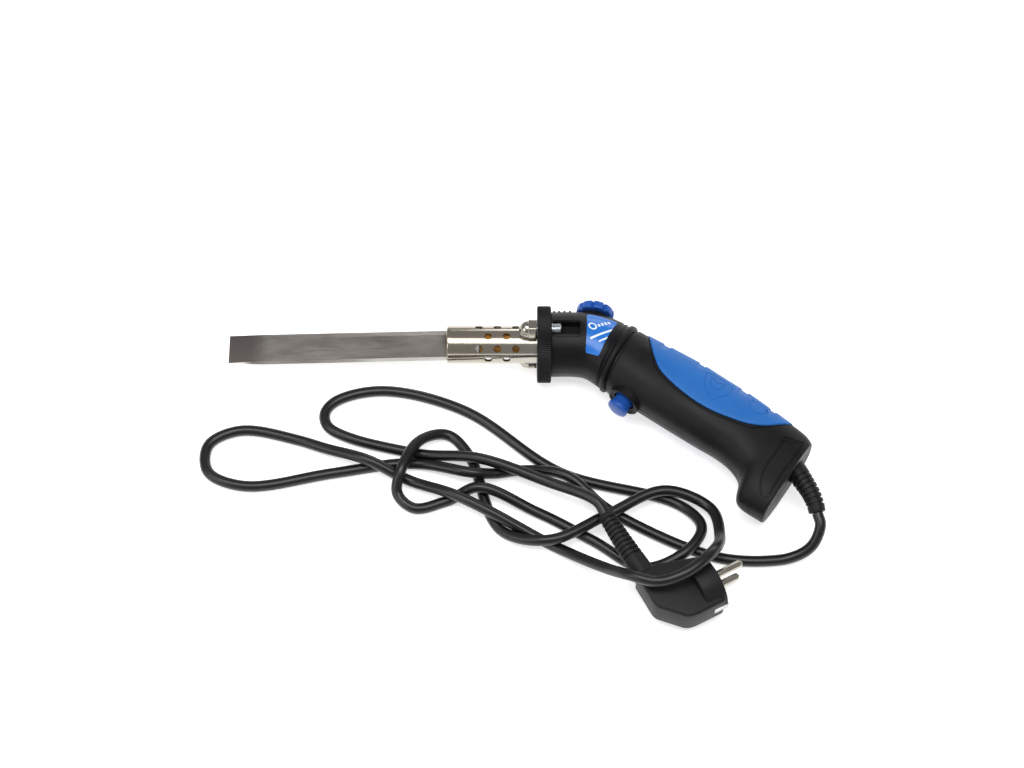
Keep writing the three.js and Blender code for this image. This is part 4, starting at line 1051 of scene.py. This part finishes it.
knob_rings = [(DIAL_LIFT, -3.5), (DIAL_LIFT, -0.5), (DIAL_LIFT + 0.4, -0.1), (DIAL_LIFT + 0.9, 0.0)]
knob_rings += [(DIAL_LIFT + DIAL_HEIGHT - 1.6, 0.0), (DIAL_LIFT + DIAL_HEIGHT - 0.9, -0.2),
               (DIAL_LIFT + DIAL_HEIGHT - 0.3, -0.75), (DIAL_LIFT + DIAL_HEIGHT, -1.6),
               (DIAL_LIFT + DIAL_HEIGHT, -3.2), (DIAL_LIFT + DIAL_HEIGHT - 0.7, -3.9),
               (DIAL_LIFT + DIAL_HEIGHT - 0.7, -8.5)]
KNOB_STEPS = 180


def knob_point(row, column):
    height, inset = knob_rings[row]
    turn = 2 * math.pi * column / KNOB_STEPS
    phase = (turn * DIAL_LOBES / (2 * math.pi)) % 1
    notch = 1.7 * max(0, 1 - min(phase, 1 - phase) / 0.14) ** 0.8 if inset > -2 else 0.4
    reach = DIAL_RADIUS + inset - (notch if inset > -3 else 0)
    return Vector((height, reach * math.cos(turn), reach * math.sin(turn)))


knob = mapped([[0] * (KNOB_STEPS + 1)] * len(knob_rings), knob_point)
bmesh.ops.holes_fill(knob, edges=[e for e in knob.edges if e.is_boundary], sides=0)
bmesh.ops.recalc_face_normals(knob, faces=knob.faces)
knob_pointer = bmesh.new()
bmesh.ops.create_cube(knob_pointer, size=1)
bmesh.ops.scale(knob_pointer, vec=(1.2, 1.4, 6), verts=knob_pointer.verts)
bmesh.ops.translate(knob_pointer, vec=(DIAL_LIFT + DIAL_HEIGHT - 0.5, 0, 3.6), verts=knob_pointer.verts)
bevelled(knob_pointer, 0.3)
merge(knob, knob_pointer)
finished("dial_cap", stood(knob, DIAL_SEAT, DIAL_AXIS), blue_nylon, "dial", ("dial_knob",),
                      40)

# ---- push button ----
# Blue nylon button that flares to a domed end, held in by a flange behind the wall of the housing.
# The housing is dished round it.
BUTTON_SPRUNG = [
    (-9.7, 0), (-9.7, 2.4), (-5.1, 2.4), (-5.1, 9.0), (-3.1, 9.0), (-3.1, 6.5), (0.2, 6.1), (2.2, 6.15),
    (4.0, 6.5), (5.4, 7.0), (6.3, 7.15), (7.0, 7.0),
]
button_dome = [(7.0 + 1.6 * math.sin(math.pi / 2 * i / 8),
    7.0 * math.cos(math.pi / 2 * i / 8)) for i in range(1, 9)]
finished("power_button", stood(turned(BUTTON_SPRUNG + button_dome[:-1] + [(8.6, 0)], 72), BUTTON_SEAT,
    BUTTON_OUT),
         blue_nylon, "button", ("push_button",), 35)
dish_profile = [(-7, 9.6), (-2.8, 9.6), (-2.8, 7.55), (-0.7, 7.55), (-0.6, 8.2), (0.0, 9.3), (0.9, 10.3),
                (0.9, 10.8), (0.5, 11.2), (-7, 11.2)]
finished("button_seat", stood(turned(dish_profile, 72, True), BUTTON_SEAT, BUTTON_OUT), black_nylon,
    "body", ())

# ---- strain relief ----
# Soft black sleeve locked in the butt of the handle, ringed with slots so that it bends with the cord.
# A flange inside the housing holds it.
RELIEF_SEAT, RELIEF_AXIS = Vector((163.5, -93, 0)), Vector((0.55, -0.835, 0)).normalized()
RELIEF_BASE, RELIEF_TIP, RELIEF_PITCH = 7.4, 5.4, 3.2

relief_path = smooth_route(
    [RELIEF_SEAT + RELIEF_AXIS * t for t in (-7.6, -3, 3)]
    + [Vector(p) for p in ((168.6, -101.6, -0.3), (172.6, -109, -1), (175.4, -116.6, -2.6), (176.4,
        -121.4, -4.2))],
    8,
)


def length_of(path):
    return sum((q - p).length for p, q in zip(path, path[1:]))


def swept(path, rings, bore, sides=48):
    """A tube of (distance, radius) rings along a path, with a bore."""
    total = length_of(path)
    loops = rings + [(min(rings[-1][0], total), bore), (rings[0][0], bore), rings[0]]

    def point_of(row, column):
        distance, radius = loops[row]
        left = min(max(distance, 0), total)
        for p, q in zip(path, path[1:]):
            step = (q - p).length
            if left <= step:
                break
            left -= step
        along = (q - p).normalized()
        side = along.cross(Vector((0, 0, 1))).normalized()
        turn = 2 * math.pi * column / sides
        return p + along * left + (side * math.cos(turn) + side.cross(along) * math.sin(turn)) * radius

    bm = mapped([[0] * (sides + 1)] * len(loops), point_of)
    bmesh.ops.recalc_face_normals(bm, faces=bm.faces)
    return bm


def ribbed(first, last, base, tip, pitch, smooth_part, slot=0.95):
    """Rings of a tapered sleeve, smooth at first and then slotted at a pitch."""
    rings = [(first + smooth_part * i / 4,
        base + (tip - base) * smooth_part * i / 4 / (last - first)) for i in range(5)]
    x = first + smooth_part
    while x + pitch < last:
        for share, drop in ((0.02, 0), (0.1, slot), (0.45, slot), (0.53, 0), (0.6, 0.05), (0.95, 0.05)):
            distance = x + pitch * share
            rings.append((distance, base + (tip - base) * (distance - first) / (last - first) - drop))
        x += pitch
    rings += [(last - 0.8, tip), (last - 0.25, tip - 0.2), (last, tip - 0.7)]
    return rings


sleeve_rubber, sleeve_shader = finish_of("moulded_soft_black_pvc", Roughness=0.5)
sleeve_shader.inputs["Specular IOR Level"].default_value = 0.3
sleeve_where = node(sleeve_rubber, "ShaderNodeTexCoord").outputs["Object"]
sleeve_patches = node(sleeve_rubber, "ShaderNodeTexNoise", {"Vector": sleeve_where, "Scale": 95,
    "Detail": 4})
sleeve_tone = node(sleeve_rubber, "ShaderNodeMix", {
    0: sleeve_patches.outputs["Fac"], 6: linear("#0c0b0d"), 7: linear("#181619")}, data_type="RGBA")
wire(sleeve_rubber, sleeve_tone.outputs[2], sleeve_shader, "Base Color")
sleeve_rough = node(sleeve_rubber, "ShaderNodeMapRange", {
    "Value": sleeve_patches.outputs["Fac"], "To Min": 0.42, "To Max": 0.6})
wire(sleeve_rubber, sleeve_rough.outputs["Result"], sleeve_shader, "Roughness")

relief_total = length_of(relief_path)
flange_rings = [(0.0, 8.6), (2.9, 8.6), (2.9, 6.8), (4.6, 6.8)]
finished("bend_sleeve",
         swept(relief_path, flange_rings + ribbed(4.6, relief_total, RELIEF_BASE, RELIEF_TIP,
             RELIEF_PITCH, 9.5),
               CORD_DIAMETER / 2 + 0.1),
         sleeve_rubber, "body", ("strain_relief",), 30)

# ---- mains plug ----
# Angled black plug with two round pins, cord leaving at the side through a ringed sleeve.
# Two earth clips are let into the edge of its round face.
PLUG_AT, PLUG_TURN = Vector((119.9, -119.4, 17.8)), math.radians(27.8)
PLUG_RADIUS, PLUG_DEPTH, PLUG_HEIGHT = 17.5, 14.0, 21.0
PIN_RADIUS, PIN_LENGTH, PIN_PITCH = 2.4, 19.0, 19.0
PLUG_OUTLINE = [(-2, -17.5), (-2, 16), (-27, 24), (-43, 24), (-43, 0), (-41, -3), (-29, -16), (-24, -17.5)]
BOOT_FROM, BOOT_TO = Vector((-36, 23.4, 0)), Vector((-37.5, 71.4, 1.7))


def on_plug(bm):
    """Moves a shape from the plug's own frame, pins along X, into the tool's frame."""
    bmesh.ops.rotate(bm, matrix=Matrix.Rotation(PLUG_TURN, 3, "Z"), verts=bm.verts)
    bmesh.ops.translate(bm, vec=PLUG_AT - ORIGIN / MM, verts=bm.verts)
    return bm


plug_bm = bmesh.new()
plug_face = plug_bm.faces.new([plug_bm.verts.new((x, y, -PLUG_HEIGHT / 2)) for x, y in PLUG_OUTLINE])
plug_top = bmesh.ops.extrude_face_region(plug_bm, geom=[plug_face])["geom"]
bmesh.ops.translate(plug_bm, vec=(0, 0, PLUG_HEIGHT), verts=[g for g in plug_top if isinstance(g,
    bmesh.types.BMVert)])
bmesh.ops.recalc_face_normals(plug_bm, faces=plug_bm.faces)
bevelled(plug_bm, 2.2, 4, 15)
disc = [(-PLUG_DEPTH, 0), (-PLUG_DEPTH, PLUG_RADIUS - 1)]
disc += arc((-PLUG_DEPTH + 1, PLUG_RADIUS - 1), 1, 180, 90, 4)[1:] + arc((-1, PLUG_RADIUS - 1), 1, 90,
    0, 4) + [(0, 0)]
merge(plug_bm, turned(disc, 72))
plug_piece = finished("plug_moulding", on_plug(plug_bm), sleeve_rubber, "body", ("plug_body",),
    35)
for number, sign in ((1, 1), (2, -1)):
    pin_profile = [(-6, 0), (-6, PIN_RADIUS), (PIN_LENGTH - 2, PIN_RADIUS), (PIN_LENGTH - 1,
        PIN_RADIUS - 0.35),
                   (PIN_LENGTH - 0.3, PIN_RADIUS - 1.0), (PIN_LENGTH, PIN_RADIUS - 1.7), (PIN_LENGTH, 0)]
    pin_bm = turned(pin_profile, 40)
    bmesh.ops.translate(pin_bm, vec=(0, 0, sign * PIN_PITCH / 2), verts=pin_bm.verts)
    finished(f"pin_{number}", on_plug(pin_bm), nickel, "body", (f"plug_pin_{number}",),
            30)
    clip_bm = bmesh.new()
    bmesh.ops.create_cube(clip_bm, size=1)
    bmesh.ops.scale(clip_bm, vec=(10, 0.8, 5), verts=clip_bm.verts)
    bmesh.ops.translate(clip_bm, vec=(-5, sign * (PLUG_RADIUS - 0.15), 0), verts=clip_bm.verts)
    bevelled(clip_bm, 0.25)
    finished(f"earth_strip_{number}", on_plug(clip_bm), zinc, "body", (f"earth_clip_{number}",))

boot_path = [BOOT_FROM.lerp(BOOT_TO, i / 12) for i in range(13)]
boot_bm = swept(boot_path, ribbed(0, length_of(boot_path), 7.6, 5.3, 3.2, 14), CORD_DIAMETER / 2 + 0.1)
finished("plug_sleeve", on_plug(boot_bm), sleeve_rubber, "body", ("plug_boot",), 30)

# ---- works inside the handle ----
# Board, triac on its aluminium plate, choke, film capacitor, potentiometer, switch, leads and clamp.
# They are closed in, and take plain finishes.
INSIDE = {
    "control_board": ("green_glass_laminate", "#1f6b3a", "#2b7d48", 0.45, 0.0),
    "filter_capacitor": ("yellow_film_case", "#c8962c", "#d9ab45", 0.4, 0.0),
    "triac": ("black_epoxy", "#151517", "#232326", 0.5, 0.0),
    "heat_sink": ("cut_aluminium_plate", "#a6a9ab", "#c9cbcc", 0.35, 1.0),
    "choke_coil": ("enamelled_copper", "#8c3b22", "#a9512f", 0.35, 0.3),
    "terminal_block": ("natural_nylon", "#d9d3c2", "#e8e3d4", 0.5, 0.0),
    "micro_switch": ("black_phenolic", "#1b1b1e", "#2a2a2e", 0.5, 0.0),
    "potentiometer": ("pressed_zinc_can", "#9ea2a5", "#bfc3c6", 0.35, 1.0),
    "dial_shaft": ("turned_brass", "#b08c3e", "#cfaa58", 0.3, 1.0),
    "live_lead": ("brown_pvc", "#5a321c", "#6c4027", 0.5, 0.0),
    "neutral_lead": ("blue_pvc", "#1d4f9e", "#2b61b3", 0.5, 0.0),
    "heater_lead_live": ("white_glass_braid", "#cfcabd", "#e4e0d5", 0.8, 0.0),
    "heater_lead_neutral": ("white_glass_braid_2", "#cfcabd", "#e4e0d5", 0.8, 0.0),
    "switch_lead": ("red_pvc", "#8f2020", "#a93030", 0.5, 0.0),
    "cord_clamp": ("natural_nylon_clamp", "#2a2a2d", "#3a3a3e", 0.5, 0.0),
}
for part, (finish_name, dark, pale, roughness, metallic) in INSIDE.items():
    plain, plain_shader = finish_of(finish_name, Metallic=metallic, Roughness=roughness)
    plain_where = node(plain, "ShaderNodeTexCoord").outputs["Object"]
    plain_specks = node(plain, "ShaderNodeTexNoise", {"Vector": plain_where, "Scale": 420, "Detail": 4})
    plain_tone = node(plain, "ShaderNodeMix", {
        0: plain_specks.outputs["Fac"], 6: linear(dark), 7: linear(pale)}, data_type="RGBA")
    wire(plain, plain_tone.outputs[2], plain_shader, "Base Color")
    dress(part, plain)
for part in ("blade_set_screw", "clamp_screw_1", "clamp_screw_2", "button_spring"):
    dress(part, zinc)
dress("cord_tail", sleeve_rubber)
